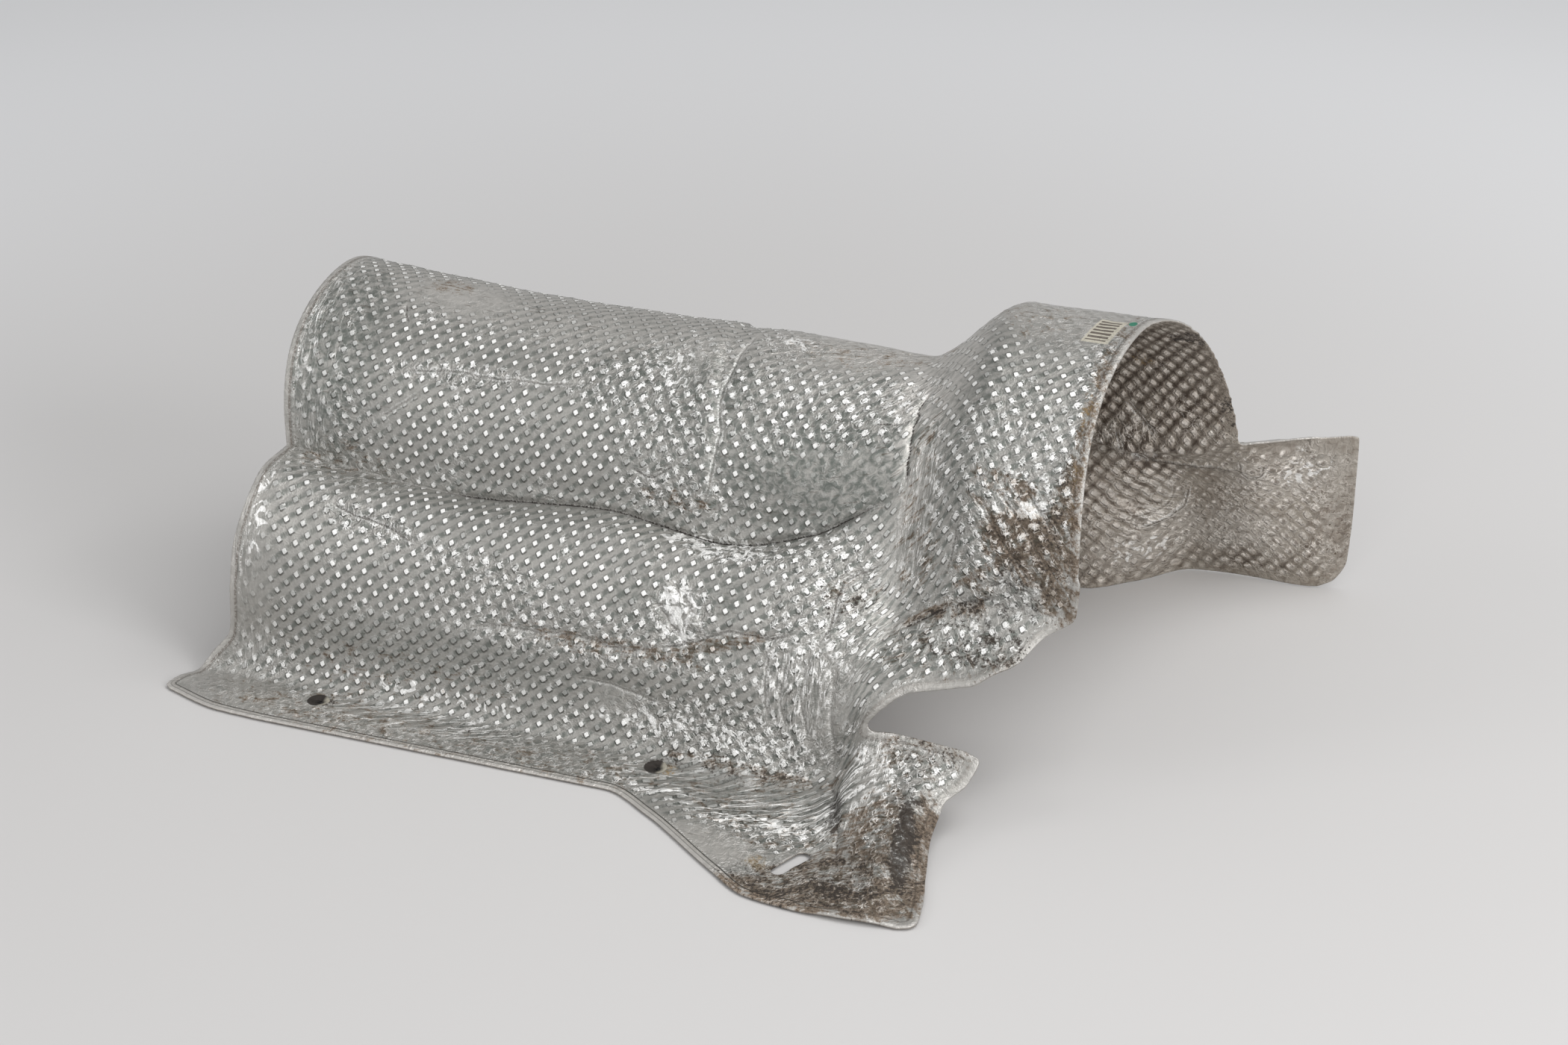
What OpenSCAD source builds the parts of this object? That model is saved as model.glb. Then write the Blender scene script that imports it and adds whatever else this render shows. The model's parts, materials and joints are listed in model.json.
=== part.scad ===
// Embossed aluminium heat shield: one pressed sheet, a tunnel on a flange with a flared arch at one end
// +X runs along the tunnel towards the arch, -Y is the side with the flange and its fixing holes, +Z is up

/* [Barrel] */
// Radius of the half-round roof over the pipe
barrel_r = 56; // [52:0.5:60]
// Distance from the datum back to the axis of the roof
barrel_y = 20; // [14:1:26]
// How far the short section beside the arch is set in
step_in = 2; // [0:0.5:4]

/* [Arch] */
// Radius of the flared arch
arch_r = 80; // [76:1:82]
// Distance from the datum back to the axis of the arch
arch_y = 32; // [29:1:34]
// Height of the arch's axis
arch_z = 90; // [87:1:92]
// Place along X where the arch springs from the roof
arch_root_x = 69; // [64:1:74]
// Length along X of the flare from the roof up to the arch
flare_l = 38; // [30:1:42]

/* [Sheet] */
// Thickness of the two embossed layers together
sheet_t = 1.5; // [1:0.1:1.6]
// Thickness of the folded hem round the edge
hem_t = 2; // [1.6:0.1:2.6]
// Width of the folded hem
hem_w = 4; // [3:0.5:5]

/* [Fixings] */
// Diameter of the two bolt holes in the flange
hole_d = 9; // [6:0.1:9]
// Distance between the bolt holes along the flange
hole_pitch = 156; // [150:1:160]
// Place along X of the hole nearer the arch
hole_x = -8; // [-12:1:-6]
// Distance of the bolt holes in front of the tunnel's datum
hole_y = 94; // [93:0.5:95]
// Length of the slot in the foot plate
slot_l = 20; // [14:1:24]
// Width of the slot in the foot plate
slot_w = 6; // [4:0.5:7]

/* [Hidden] */
// Middle of the slot and its turn from X
slot_at = [68, -141];
slot_turn = 66;
// The tables give the sheet's underside; this shift puts the footprint's middle and the lowest edge at the origin
place = [0, 3.3, -1.5];

// Near side, one row per section: x, then y and z of
// waist fold, shoulder, upper side, lower side, heel, toe, flange, plate, front edge
near_side = [
  [-232, [-36, 93], [-64, 90], [-79, 68], [-82, 44], [-79, 20], [-83, 8], [-88, 3], [-96, 3], [-105, hem_t]],
  [-201, [-36, 92], [-63, 89], [-78, 67], [-81, 44], [-79, 20], [-83, 7], [-88, 3], [-101, 3], [-114, hem_t]],
  [-175, [-37, 87], [-58, 85], [-74, 65], [-79, 42], [-79, 20], [-83, 7], [-88, 3], [-101, 3], [-115, hem_t]],
  [-120, [-38, 83], [-54, 81], [-69, 63], [-77, 40], [-79, 20], [-83, 7], [-88, 3], [-101, 3], [-115, hem_t]],
  [-50, [-38, 88], [-54, 84], [-70, 64], [-78, 41], [-80, 20], [-84, 7], [-88, 3], [-101, 3], [-115, hem_t]],
  [-22, [-38, 84], [-54, 82], [-70, 63], [-78, 41], [-80, 20], [-84, 7], [-88, 3], [-101, 3], [-115, hem_t]],
  [0, [-38, 81], [-54, 80], [-70, 62], [-78, 41], [-81, 20], [-85, 7], [-89, 3], [-112, 3], [-126, hem_t]],
  [40, [-36, 91], [-51, 85], [-68, 66], [-78, 43], [-82, 21], [-88, 7], [-108, 3], [-141, 3], [-155, hem_t]],
  [57, [-33, 101], [-49, 82], [-64, 67], [-76, 50], [-82, 25], [-88, 7], [-118, 3], [-152, 3], [-166, hem_t]],
  [68, [-31, 108], [-48, 78], [-60, 66], [-73, 54], [-82, 34], [-87, 11], [-120, 3], [-154, 3], [-168, hem_t]],
  [80, [-30, 113], [-48, 68], [-60, 62], [-72, 55], [-82, 44], [-85, 28], [-118, 6], [-155, 3], [-169, hem_t]],
  [95, [-40, 104], [-49, 73], [-59, 66], [-68, 59], [-76, 52], [-84, 31], [-116, 14], [-155, 4], [-169, 3]],
  [107, [-46, 99], [-49, 77], [-58, 68], [-67, 60], [-74, 53], [-84, 31], [-114, 18], [-154, 7], [-168, 3]],
  [119, [-48, 97], [-49, 79], [-57, 70], [-66, 62], [-73, 55], [-84, 31], [-112, 7], [-153, 3], [-167, hem_t]],
  [131, [-48, 96], [-49, 80], [-56, 72], [-65, 64], [-70, 61], [-85, 29], [-110, 4], [-153, 3], [-167, hem_t]],
  [160, [-48, 95], [-48, 80], [-49, 71], [-50, 66], [-60, 60], [-85, 29], [-110, 4], [-153, 3], [-167, hem_t]]];
// Far side, one row per section: x, then y and z of bottom edge, toe, wall, ledge, far waist
far_side = [
    [-210, [112, hem_t], [98, 8], [94, 46], [86, 84], [77, 90]],
    [0, [113, hem_t], [99, 8], [95, 44], [87, 78], [77, 84]],
    [60, [115, hem_t], [103, 9], [99, 44], [92, 76], [80, 82]],
    [90, [118, hem_t], [112, 12], [113, 44], [112, 76], [106, 82]],
    [117, [119, hem_t], [119, 14], [120, 44], [120, 75], [112, 81]],
    [139, [134, hem_t], [133, 14], [131, 44], [124, 73], [113, 80]],
    [162, [155, hem_t], [152, 16], [143, 46], [128, 71], [114, 80]],
    [185, [157, hem_t], [152, 16], [142, 46], [128, 74], [120, 86]],
    [210, [156, hem_t], [154, 16], [152, 46], [147, 74], [144, 82]],
    [240, [167, hem_t], [164, 16], [159, 46], [155, 79], [152, 86]]];
// Rib numbers across the sheet: 0 to 4 far side, 4.5 to 6.5 roof, 7 to 15 near side
far_rib = 4;
roof_far = 4.5;
roof_near = 6.5;
near_rib = 7;
last_rib = 15;
// Trimmed ends of the sheet: rib number, then x
left_end = [[0, -205], [4, -203], [5.5, -201], [6.1, -204], [6.5, -203], [8, -203], [9, -207], [10, -210],
    [11, -214], [12, -223], [13, -226], [14, -231], [14.8, -233], [15, -230]];
right_end = [[0, 219], [0.25, 226], [1, 231], [2, 232], [3.6, 232], [3.9, 229], [4, 215], [4.15, 190], [4.5, 185],
    [4.8, 177], [5.15, 166], [5.5, 156], [6, 151], [6.5, 154], [7, 155], [8, 154], [9, 143], [10, 136], [10.7, 130],
    [10.95, 121], [11.03, 108], [11.13, 92], [11.3, 83], [11.5, 80], [11.7, 82], [11.85, 92], [12, 127],
    [12.3, 124], [12.6, 117], [13, 116], [13.5, 120], [14, 125], [14.6, 126], [14.85, 124], [15, 119]];
// Height of the roof's axis, which sags between the left end and the step
roof_axis = [[-233, 100], [-201, 99.5], [-150, 96], [-105, 93.5], [-60, 93], [-20, 93.5], [0, 95], [60, 93]];
// Angle by which the roof stops short of its springing on the near side, where the waist fold climbs it
short_of = [[-233, 0], [20, 0], [40, 6], [57, 17], [68, 24], [80, 29], [95, 16], [107, 9], [119, 6], [160, 5]];
// How sharply the sheet folds at each near-side rib, left of the arch and under it: 0 smooth, 1 a crease
fold_left = [1, 0, 0, 0.4, 0, 0.5, 0, 0, 0];
fold_arch = [0, 1, 0, 0, 0, 0.5, 0, 0, 0];
fold_far = [0, 0.5, 0, 0, 0.8];
// Where the fold moves from the waist to the foot of the arch
fold_swap = [60, 90];
// The step and the arch's root run across the roof at a slant: x at the far springing and at the near one
step_at = [-18, -3];
root_ahead = [-3, 8];
// Half the length of the step, and the share of the roof next to each springing that the ribs share
step_half = 2;
blend = 0.05;

// Monotone cubic through a table of rows [x, value, ...], column k
function rise(t, i, k) = (t[i + 1][k] - t[i][k]) / (t[i + 1][0] - t[i][0]);
function lean(t, i, k) = i == 0 ? rise(t, 0, k) : i == len(t) - 1 ? rise(t, i - 1, k) :
    let(p = rise(t, i - 1, k), q = rise(t, i, k)) p * q <= 0 ? 0 : 2 * p * q / (p + q);
function find(t, x, i = 0) = i >= len(t) - 2 || x < t[i + 1][0] ? i : find(t, x, i + 1);
function along(t, x, k = 1) = let(
    i = find(t, x), h = t[i + 1][0] - t[i][0], s = max(0, min(1, (x - t[i][0]) / h)))
    t[i][k] * (1 + 2 * s) * (1 - s) ^ 2 + t[i + 1][k] * s ^ 2 * (3 - 2 * s)
    + h * lean(t, i, k) * s * (1 - s) ^ 2 + h * lean(t, i + 1, k) * s ^ 2 * (s - 1);
function rib_column(t, rib, k) = [for (row = t) [row[0], row[rib + 1][k]]];
function rib_point(t, rib, x) = [along(rib_column(t, rib, 0), x), along(rib_column(t, rib, 1), x)];
function ease(a, b, x) = let(s = max(0, min(1, (x - a) / (b - a)))) s * s * (3 - 2 * s);
function unit(v) = v / max(norm(v), 0.001);

// Roof: a round section that steps in before the arch and flares out into it; side is 0 far, 1 near
function slant(ends, side) = ends[0] + (ends[1] - ends[0]) * max(0, 2 * side - 1);
function step_x(side) = slant(step_at, side);
function root_x(side) = arch_root_x + slant(root_ahead, side);
function flare(x, side) = ease(root_x(side), root_x(side) + flare_l, x);
function roof_point(x, side) = let(
    f = flare(x, side),
    base_r = barrel_r - step_in * ease(step_x(side) - step_half, step_x(side) + step_half, x),
    r = base_r + (arch_r - base_r) * f,
    y = barrel_y + (arch_y - barrel_y) * f,
    z_left = along(roof_axis, x),
    z = z_left + (arch_z - z_left) * f,
    angle = side * (180 - along(short_of, x)))
    [y + r * cos(angle), z + r * sin(angle)];

// Spline between ribs of one section; each rib's fold value turns a smooth pass into a crease
function pass(p, i) = unit(p[min(i + 1, len(p) - 1)] - p[max(i - 1, 0)]);
function turn(p, fold, i, d) = unit(pass(p, i) * (1 - fold[i]) + d * fold[i]);
function between(p, fold, v) = let(
    i = max(0, min(len(p) - 2, floor(v))), s = v - i, chord = p[i + 1] - p[i],
    t0 = turn(p, fold, i, unit(chord)), t1 = turn(p, fold, i + 1, unit(chord)))
    p[i] * (1 + 2 * s) * (1 - s) ^ 2 + p[i + 1] * s ^ 2 * (3 - 2 * s)
    + norm(chord) * (t0 * s * (1 - s) ^ 2 + t1 * s ^ 2 * (s - 1));
function far_line(x) = concat([for (i = [0 : far_rib]) rib_point(far_side, i, x)],
    [roof_point(x, 0), roof_point(x, blend)]);
function near_line(x) = concat([roof_point(x, 1 - blend), roof_point(x, 1)],
    [for (i = [0 : last_rib - near_rib]) rib_point(near_side, i, x)]);
function near_fold(x) = let(w = ease(fold_swap[0], fold_swap[1], x))
    concat([0, 0], [for (i = [0 : last_rib - near_rib]) fold_left[i] * (1 - w) + fold_arch[i] * w]);
function section_point(x, v, far, near, fold) =
    v < roof_far ? between(far, concat(fold_far, [0, 0]), v < far_rib ? v : far_rib + 2 * (v - far_rib)) :
    v <= roof_near ? roof_point(x, (v - roof_far) / (roof_near - roof_far)) :
    between(near, fold, v < near_rib ? 1 + 2 * (v - roof_near) : v - near_rib + 2);
function underside(x, v) = let(p = section_point(x, v, far_line(x), near_line(x), near_fold(x)))
    [x, p[0], p[1]];

// Grid: across the sheet, rib numbers; along it, lines that follow the step and both trimmed ends
edge_rib_w = 14;
hem_v = hem_w / edge_rib_w;
ramp_v = hem_v + 0.08;
ramp_w = hem_w + 1.2;
v_lines = concat([0, hem_v, ramp_v, 0.6, 1, 1.5, 2, 2.5, 3, 3.5, 3.8, 4, 4.12, 4.25],
    [for (i = [0 : 14]) roof_far + i / 7],
    [6.9, 7, 7.1, 7.5, 8, 8.1, 8.5, 9, 9.5, 10, 10.5, 11, 11.1, 11.22, 11.36, 11.5, 11.64, 11.78, 11.9, 12],
    [12.2, 12.5, 13, 13.1, 13.5, 14, 14.5, last_rib - ramp_v, last_rib - hem_v, last_rib]);
tight_x = [-188, -172, -156, -140, -124, -108, -92, -76, -62, -48, -36];
step_lines = [-10, -3, -1, 1, 3, 9];
mid_x = [12, 22, 32, 42, 50, 57, 63];
pin_shares = [0.08, 0.16, 0.24, 0.32, 0.4, 0.48, 0.56, 0.64, 0.73, 0.82, 0.91, 1];
rim_shares = [0.3, 0.55, 0.78];
// In front of the notch the lines keep to the ridge of the foot plate
ridge_x = 107;
pin_share = 0.8;
function side_of(v) = max(0, min(1, (v - roof_far) / (roof_near - roof_far)));
function x_lines(v) = let(l = along(left_end, v), r = along(right_end, v), last = mid_x[len(mid_x) - 1],
    pin = v < 12 ? last + (r - hem_w - last) * pin_share : ridge_x)
    concat([l, l + hem_w, l + ramp_w], tight_x, [for (d = step_lines) step_x(side_of(v)) + d], mid_x,
    [for (w = pin_shares) last + (pin - last) * w], [for (w = rim_shares) pin + (r - hem_w - pin) * w],
    [r - ramp_w, r - hem_w, r]);

module shield() {
    under = [for (v = v_lines) [for (x = x_lines(v)) underside(x, v)]];
    rows = len(v_lines);
    cols = len(under[0]);
    function outward(i, j) = unit(cross(under[min(i + 1, rows - 1)][j] - under[max(i - 1, 0)][j],
        under[i][min(j + 1, cols - 1)] - under[i][max(j - 1, 0)]));
    function at_hem(i, j) = i < 2 || j < 2 || i > rows - 3 || j > cols - 3;
    upper = [for (i = [0 : rows - 1]) [for (j = [0 : cols - 1])
        under[i][j] + outward(i, j) * (at_hem(i, j) ? hem_t : sheet_t)]];
    count = rows * cols;
    points = concat([for (row = under) each row], [for (row = upper) each row]);
    function at(i, j, side) = side * count + i * cols + j;
    inside = [for (i = [0 : rows - 2]) for (j = [0 : cols - 2]) each
        [[at(i, j, 0), at(i + 1, j, 0), at(i + 1, j + 1, 0)],
         [at(i, j, 0), at(i + 1, j + 1, 0), at(i, j + 1, 0)]]];
    outside = [for (i = [0 : rows - 2]) for (j = [0 : cols - 2]) each
        [[at(i, j, 1), at(i + 1, j + 1, 1), at(i + 1, j, 1)],
         [at(i, j, 1), at(i, j + 1, 1), at(i + 1, j + 1, 1)]]];
    rim = concat([for (j = [0 : cols - 1]) [0, j]], [for (i = [1 : rows - 1]) [i, cols - 1]],
        [for (j = [1 : cols - 1]) [rows - 1, cols - 1 - j]], [for (i = [1 : rows - 2]) [rows - 1 - i, 0]]);
    edge = [for (k = [0 : len(rim) - 1]) let(a = rim[k], b = rim[(k + 1) % len(rim)],
        a0 = at(a[0], a[1], 0), a1 = at(a[0], a[1], 1), b0 = at(b[0], b[1], 0), b1 = at(b[0], b[1], 1))
        each [[a0, b0, b1], [a0, b1, a1]]];
    color("silver")
        translate(place) difference() {
            polyhedron(points, concat(inside, outside, edge));
            bolt_holes();
            foot_slot();
        }
}

module bolt_holes() {
    for (x = [hole_x, hole_x - hole_pitch]) translate([x, -hole_y, -1])
        cylinder(d = hole_d, h = 10, $fn = 48);
}

module foot_slot() {
    translate([slot_at[0], slot_at[1], -1]) rotate(slot_turn) {
        translate([-(slot_l - slot_w) / 2, -slot_w / 2, 0]) cube([slot_l - slot_w, slot_w, 10]);
        for (s = [-1, 1]) translate([s * (slot_l - slot_w) / 2, 0, 0]) cylinder(d = slot_w, h = 10, $fn = 32);
    }
}

shield();
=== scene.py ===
import json
import math
import bpy
import numpy as np
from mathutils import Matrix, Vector, kdtree, noise
from mathutils.geometry import delaunay_2d_cdt

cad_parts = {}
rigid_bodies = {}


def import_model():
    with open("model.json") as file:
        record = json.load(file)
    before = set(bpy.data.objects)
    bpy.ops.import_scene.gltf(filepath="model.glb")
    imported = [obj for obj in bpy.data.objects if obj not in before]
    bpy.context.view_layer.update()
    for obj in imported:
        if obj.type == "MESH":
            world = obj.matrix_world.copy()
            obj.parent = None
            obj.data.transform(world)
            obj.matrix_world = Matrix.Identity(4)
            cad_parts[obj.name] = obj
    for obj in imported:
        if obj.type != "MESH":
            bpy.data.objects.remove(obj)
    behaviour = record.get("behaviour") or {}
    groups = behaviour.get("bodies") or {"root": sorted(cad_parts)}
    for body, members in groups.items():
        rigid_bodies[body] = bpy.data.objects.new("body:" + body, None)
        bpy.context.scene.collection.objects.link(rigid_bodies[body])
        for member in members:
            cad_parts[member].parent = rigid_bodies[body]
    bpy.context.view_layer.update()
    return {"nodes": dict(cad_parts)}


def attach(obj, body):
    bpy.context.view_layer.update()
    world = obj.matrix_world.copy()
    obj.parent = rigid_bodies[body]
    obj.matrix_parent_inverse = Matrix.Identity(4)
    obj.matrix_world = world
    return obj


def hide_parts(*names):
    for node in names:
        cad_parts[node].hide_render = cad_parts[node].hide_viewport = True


for o in list(bpy.data.objects):    # Blender's own cube, lamp and camera
    bpy.data.objects.remove(o)
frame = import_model()
print("frame loaded:", list(frame["nodes"]))

mm = 0.001


# the pressed form: sections across the tunnel, in mm

form = {
    "barrelR": 56, "barrelY": 20, "stepIn": 2,
    "archR": 80, "archY": 32, "archZ": 90, "archRootX": 69, "flareL": 38,
    "stepAt": (-18, -3), "stepHalf": 2, "rootAhead": (-3, 8), "hemT": 2,
    "blend": 0.05,                  # the part of the roof that either side is joined to
    "place": (0, 3.3, -1.5),        # puts the footprint's middle at the origin
}

rim = form["hemT"]
nearSide = {    # x: waist fold, shoulder, upper side, lower side, heel, toe, flange, plate, front edge
    -232: [(-36, 93), (-64, 90), (-79, 68), (-82, 44), (-79, 20), (-83, 8), (-88, 3), (-96, 3), (-105, rim)],
    -201: [(-36, 92), (-63, 89), (-78, 67), (-81, 44), (-79, 20), (-83, 7), (-88, 3), (-101, 3), (-114, rim)],
    -175: [(-37, 87), (-58, 85), (-74, 65), (-79, 42), (-79, 20), (-83, 7), (-88, 3), (-101, 3), (-115, rim)],
    -120: [(-38, 83), (-54, 81), (-69, 63), (-77, 40), (-79, 20), (-83, 7), (-88, 3), (-101, 3), (-115, rim)],
    -50: [(-38, 88), (-54, 84), (-70, 64), (-78, 41), (-80, 20), (-84, 7), (-88, 3), (-101, 3), (-115, rim)],
    -22: [(-38, 84), (-54, 82), (-70, 63), (-78, 41), (-80, 20), (-84, 7), (-88, 3), (-101, 3), (-115, rim)],
    0: [(-38, 81), (-54, 80), (-70, 62), (-78, 41), (-81, 20), (-85, 7), (-89, 3), (-112, 3), (-126, rim)],
    40: [(-36, 91), (-51, 85), (-68, 66), (-78, 43), (-82, 21), (-88, 7), (-108, 3), (-141, 3), (-155, rim)],
    57: [(-33, 101), (-49, 82), (-64, 67), (-76, 50), (-82, 25), (-88, 7), (-118, 3), (-152, 3), (-166, rim)],
    68: [(-31, 108), (-48, 78), (-60, 66), (-73, 54), (-82, 34), (-87, 11), (-120, 3), (-154, 3), (-168, rim)],
    80: [(-30, 113), (-48, 68), (-60, 62), (-72, 55), (-82, 44), (-85, 28), (-118, 6), (-155, 3), (-169, rim)],
    95: [(-40, 104), (-49, 73), (-59, 66), (-68, 59), (-76, 52), (-84, 31), (-116, 14), (-155, 4), (-169, 3)],
    107: [(-46, 99), (-49, 77), (-58, 68), (-67, 60), (-74, 53), (-84, 31), (-114, 18), (-154, 7), (-168, 3)],
    119: [(-48, 97), (-49, 79), (-57, 70), (-66, 62), (-73, 55), (-84, 31), (-112, 7), (-153, 3), (-167, rim)],
    131: [(-48, 96), (-49, 80), (-56, 72), (-65, 64), (-70, 61), (-85, 29), (-110, 4), (-153, 3), (-167, rim)],
    160: [(-48, 95), (-48, 80), (-49, 71), (-50, 66), (-60, 60), (-85, 29), (-110, 4), (-153, 3), (-167, rim)],
}
farSide = {     # x: bottom edge, toe, wall, ledge, far waist
    -210: [(112, rim), (98, 8), (94, 46), (86, 84), (77, 90)],
    0: [(113, rim), (99, 8), (95, 44), (87, 78), (77, 84)],
    60: [(115, rim), (103, 9), (99, 44), (92, 76), (80, 82)],
    90: [(118, rim), (112, 12), (113, 44), (112, 76), (106, 82)],
    117: [(119, rim), (119, 14), (120, 44), (120, 75), (112, 81)],
    139: [(134, rim), (133, 14), (131, 44), (124, 73), (113, 80)],
    162: [(155, rim), (152, 16), (143, 46), (128, 71), (114, 80)],
    185: [(157, rim), (152, 16), (142, 46), (128, 74), (120, 86)],
    210: [(156, rim), (154, 16), (152, 46), (147, 74), (144, 82)],
    240: [(167, rim), (164, 16), (159, 46), (155, 79), (152, 86)],
}
leftEnd = [(0, -205), (4, -203), (5.5, -201), (6.1, -204), (6.5, -203), (8, -203), (9, -207), (10, -210),
           (11, -214), (12, -223), (13, -226), (14, -231), (14.8, -233), (15, -230)]    # rib number, x
rightEnd = [(0, 219), (0.25, 226), (1, 231), (2, 232), (3.6, 232), (3.9, 229), (4, 215), (4.15, 190),
            (4.5, 185), (4.8, 177), (5.15, 166), (5.5, 156), (6, 151), (6.5, 154), (7, 155), (8, 154),
            (9, 143), (10, 136), (10.7, 130), (10.95, 121), (11.03, 108), (11.13, 92), (11.3, 83),
            (11.5, 80), (11.7, 82), (11.85, 92), (12, 127), (12.3, 124), (12.6, 117), (13, 116),
            (13.5, 120), (14, 125), (14.6, 126), (14.85, 124), (15, 119)]
roofAxis = [(-233, 100), (-201, 99.5), (-150, 96), (-105, 93.5), (-60, 93), (-20, 93.5), (0, 95), (60, 93)]
shortOf = [(-233, 0), (20, 0), (40, 6), (57, 17), (68, 24), (80, 29), (95, 16), (107, 9), (119, 6), (160, 5)]
foldLeft = (1, 0, 0, 0.4, 0, 0.5, 0, 0, 0)    # 0 a smooth pass, 1 a crease
foldArch = (0, 1, 0, 0, 0, 0.5, 0, 0, 0)
foldFar = (0, 0.5, 0, 0, 0.8, 0, 0)
foldSwap = (60, 90)
roofRibs = (4.5, 6.5)    # ribs are numbered across the sheet, from the far edge at 0 to the front edge
crownRib, ledgeRib, heelRib, lastRib = 5.5, 3, 12, 15
plainX, armX = -60, 117    # the plain stretch, and where the arm to the tab starts


def along(rows, x):    # monotone cubic through rows of (place, value)
    t = np.array(rows, float)
    h = np.diff(t[:, 0])
    rise = np.diff(t[:, 1]) / h
    lean = np.concatenate([rise[:1], np.zeros(len(rise) - 1), rise[-1:]])
    p, q = rise[:-1], rise[1:]
    lean[1:-1] = np.where(p * q > 0, 2 * p * q / np.where(p + q == 0, 1, p + q), 0)
    i = np.clip(np.searchsorted(t[:, 0], x, side="right") - 1, 0, len(h) - 1)
    s = np.clip((x - t[i, 0]) / h[i], 0, 1)
    return (t[i, 1] * (1 + 2 * s) * (1 - s) ** 2 + t[i + 1, 1] * s ** 2 * (3 - 2 * s)
            + h[i] * (lean[i] * s * (1 - s) ** 2 + lean[i + 1] * s ** 2 * (s - 1)))


def ease(a, b, x):
    s = np.clip((x - a) / (b - a), 0, 1)
    return s * s * (3 - 2 * s)


def unit(v):
    return v / np.maximum(np.linalg.norm(v, axis=-1, keepdims=True), 1e-9)


def ribs(side, x):    # every rib of one side at each x: shape (x, rib, 2)
    places = sorted(side)
    count = len(side[places[0]])
    return np.stack([np.stack([along([(p, side[p][i][k]) for p in places], x) for k in (0, 1)], -1)
                     for i in range(count)], 1)


def roofPoint(x, side):    # side 0 is the far springing, 1 the near one
    f = form
    near = np.maximum(0, 2 * side - 1)
    stepX = f["stepAt"][0] + (f["stepAt"][1] - f["stepAt"][0]) * near
    rootX = f["archRootX"] + f["rootAhead"][0] + (f["rootAhead"][1] - f["rootAhead"][0]) * near
    flare = ease(rootX, rootX + f["flareL"], x)
    base = f["barrelR"] - f["stepIn"] * ease(stepX - f["stepHalf"], stepX + f["stepHalf"], x)
    r = base + (f["archR"] - base) * flare
    y = f["barrelY"] + (f["archY"] - f["barrelY"]) * flare
    left = along(roofAxis, x)
    z = left + (f["archZ"] - left) * flare
    angle = np.radians(side * (180 - along(shortOf, x)))
    return np.stack([y + r * np.cos(angle), z + r * np.sin(angle)], -1)


def between(p, fold, v):    # p: (x, rib, 2), fold: (x, rib), v: rib numbers -> (x, v, 2)
    last = p.shape[1] - 1
    passes = unit(np.stack([p[:, min(i + 1, last)] - p[:, max(i - 1, 0)] for i in range(last + 1)], 1))
    i = np.clip(np.floor(v).astype(int), 0, last - 1)
    s = (v - i)[None, :, None]
    a, b = p[:, i], p[:, i + 1]
    chord = b - a
    d = unit(chord)
    f0, f1 = fold[:, i, None], fold[:, i + 1, None]
    t0 = unit(passes[:, i] * (1 - f0) + d * f0)
    t1 = unit(passes[:, i + 1] * (1 - f1) + d * f1)
    size = np.linalg.norm(chord, axis=-1, keepdims=True)
    return (a * (1 + 2 * s) * (1 - s) ** 2 + b * s ** 2 * (3 - 2 * s)
            + size * (t0 * s * (1 - s) ** 2 + t1 * s ** 2 * (s - 1)))


gridX = np.arange(-236, 236.5, 1.0)
gridV = np.arange(0, lastRib * 40 + 1) * 0.025


def section():    # the underside on the whole grid: (x, v, 3)
    x, v = gridX, gridV
    n = len(x)
    start, stop = roofRibs
    roof = lambda side: roofPoint(x, side + 0 * x)[:, None]
    far = np.concatenate([ribs(farSide, x), roof(0), roof(form["blend"])], 1)
    near = np.concatenate([roof(1 - form["blend"]), roof(1), ribs(nearSide, x)], 1)
    w = ease(*foldSwap, x)[:, None]
    nearFold = np.concatenate([np.zeros((n, 2)), np.array(foldLeft) * (1 - w) + np.array(foldArch) * w], 1)
    farFold = np.repeat(np.array(foldFar)[None], n, 0)
    vf, vr, vn = v[v < start], v[(v >= start) & (v <= stop)], v[v > stop]
    waist, fold = start - 0.5, stop + 0.5
    parts = [between(far, farFold, np.where(vf < waist, vf, waist + 2 * (vf - waist))),
             roofPoint(x[:, None], ((vr - start) / (stop - start))[None]),
             between(near, nearFold, np.where(vn < fold, 1 + 2 * (vn - stop), vn - fold + 2))]
    yz = np.concatenate(parts, 1)
    return np.concatenate([np.broadcast_to(x[:, None, None], yz.shape[:2] + (1,)), yz], -1) + form["place"]


underside = section()
alongX = np.gradient(underside, axis=0)
acrossV = np.gradient(underside, axis=1)
outward = unit(np.cross(acrossV, alongX))

# the flat blank: place along X, and the way across the sheet from the crown

steps = np.linalg.norm(np.diff(underside, axis=1), axis=-1)
way = np.concatenate([np.zeros((len(gridX), 1)), np.cumsum(steps, 1)], 1)
crown = np.argmin(abs(gridV - crownRib))
way -= way[:, crown:crown + 1]


def evenOut(way):    # the drawn walls stretch, so the flange and the far wall keep their rows straight
    row = lambda rib: np.argmin(abs(gridV - rib))
    heel, ledge = row(heelRib), row(ledgeRib)
    out = way.copy()
    plain = np.full(len(gridX), np.argmin(abs(gridX - plainX)))
    arm = np.minimum(np.arange(len(gridX)), np.argmin(abs(gridX - armX)))
    for start, stop, rest, ref in ((row(roofRibs[1]), heel, slice(heel, None), plain),
                                   (row(roofRibs[0]), ledge, slice(0, ledge + 1), arm)):
        a, b = way[:, start:start + 1], way[:, stop:stop + 1]
        goal = way[ref, stop][:, None]
        lo, hi = min(start, stop), max(start, stop) + 1
        out[:, lo:hi] = a + (way[:, lo:hi] - a) * (goal - a) / (b - a)
        out[:, rest] = way[:, rest] - b + goal
    return out


blankQ = evenOut(way)
print("form:", underside.shape, "blank", blankQ.min().round(1), blankQ.max().round(1))

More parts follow.
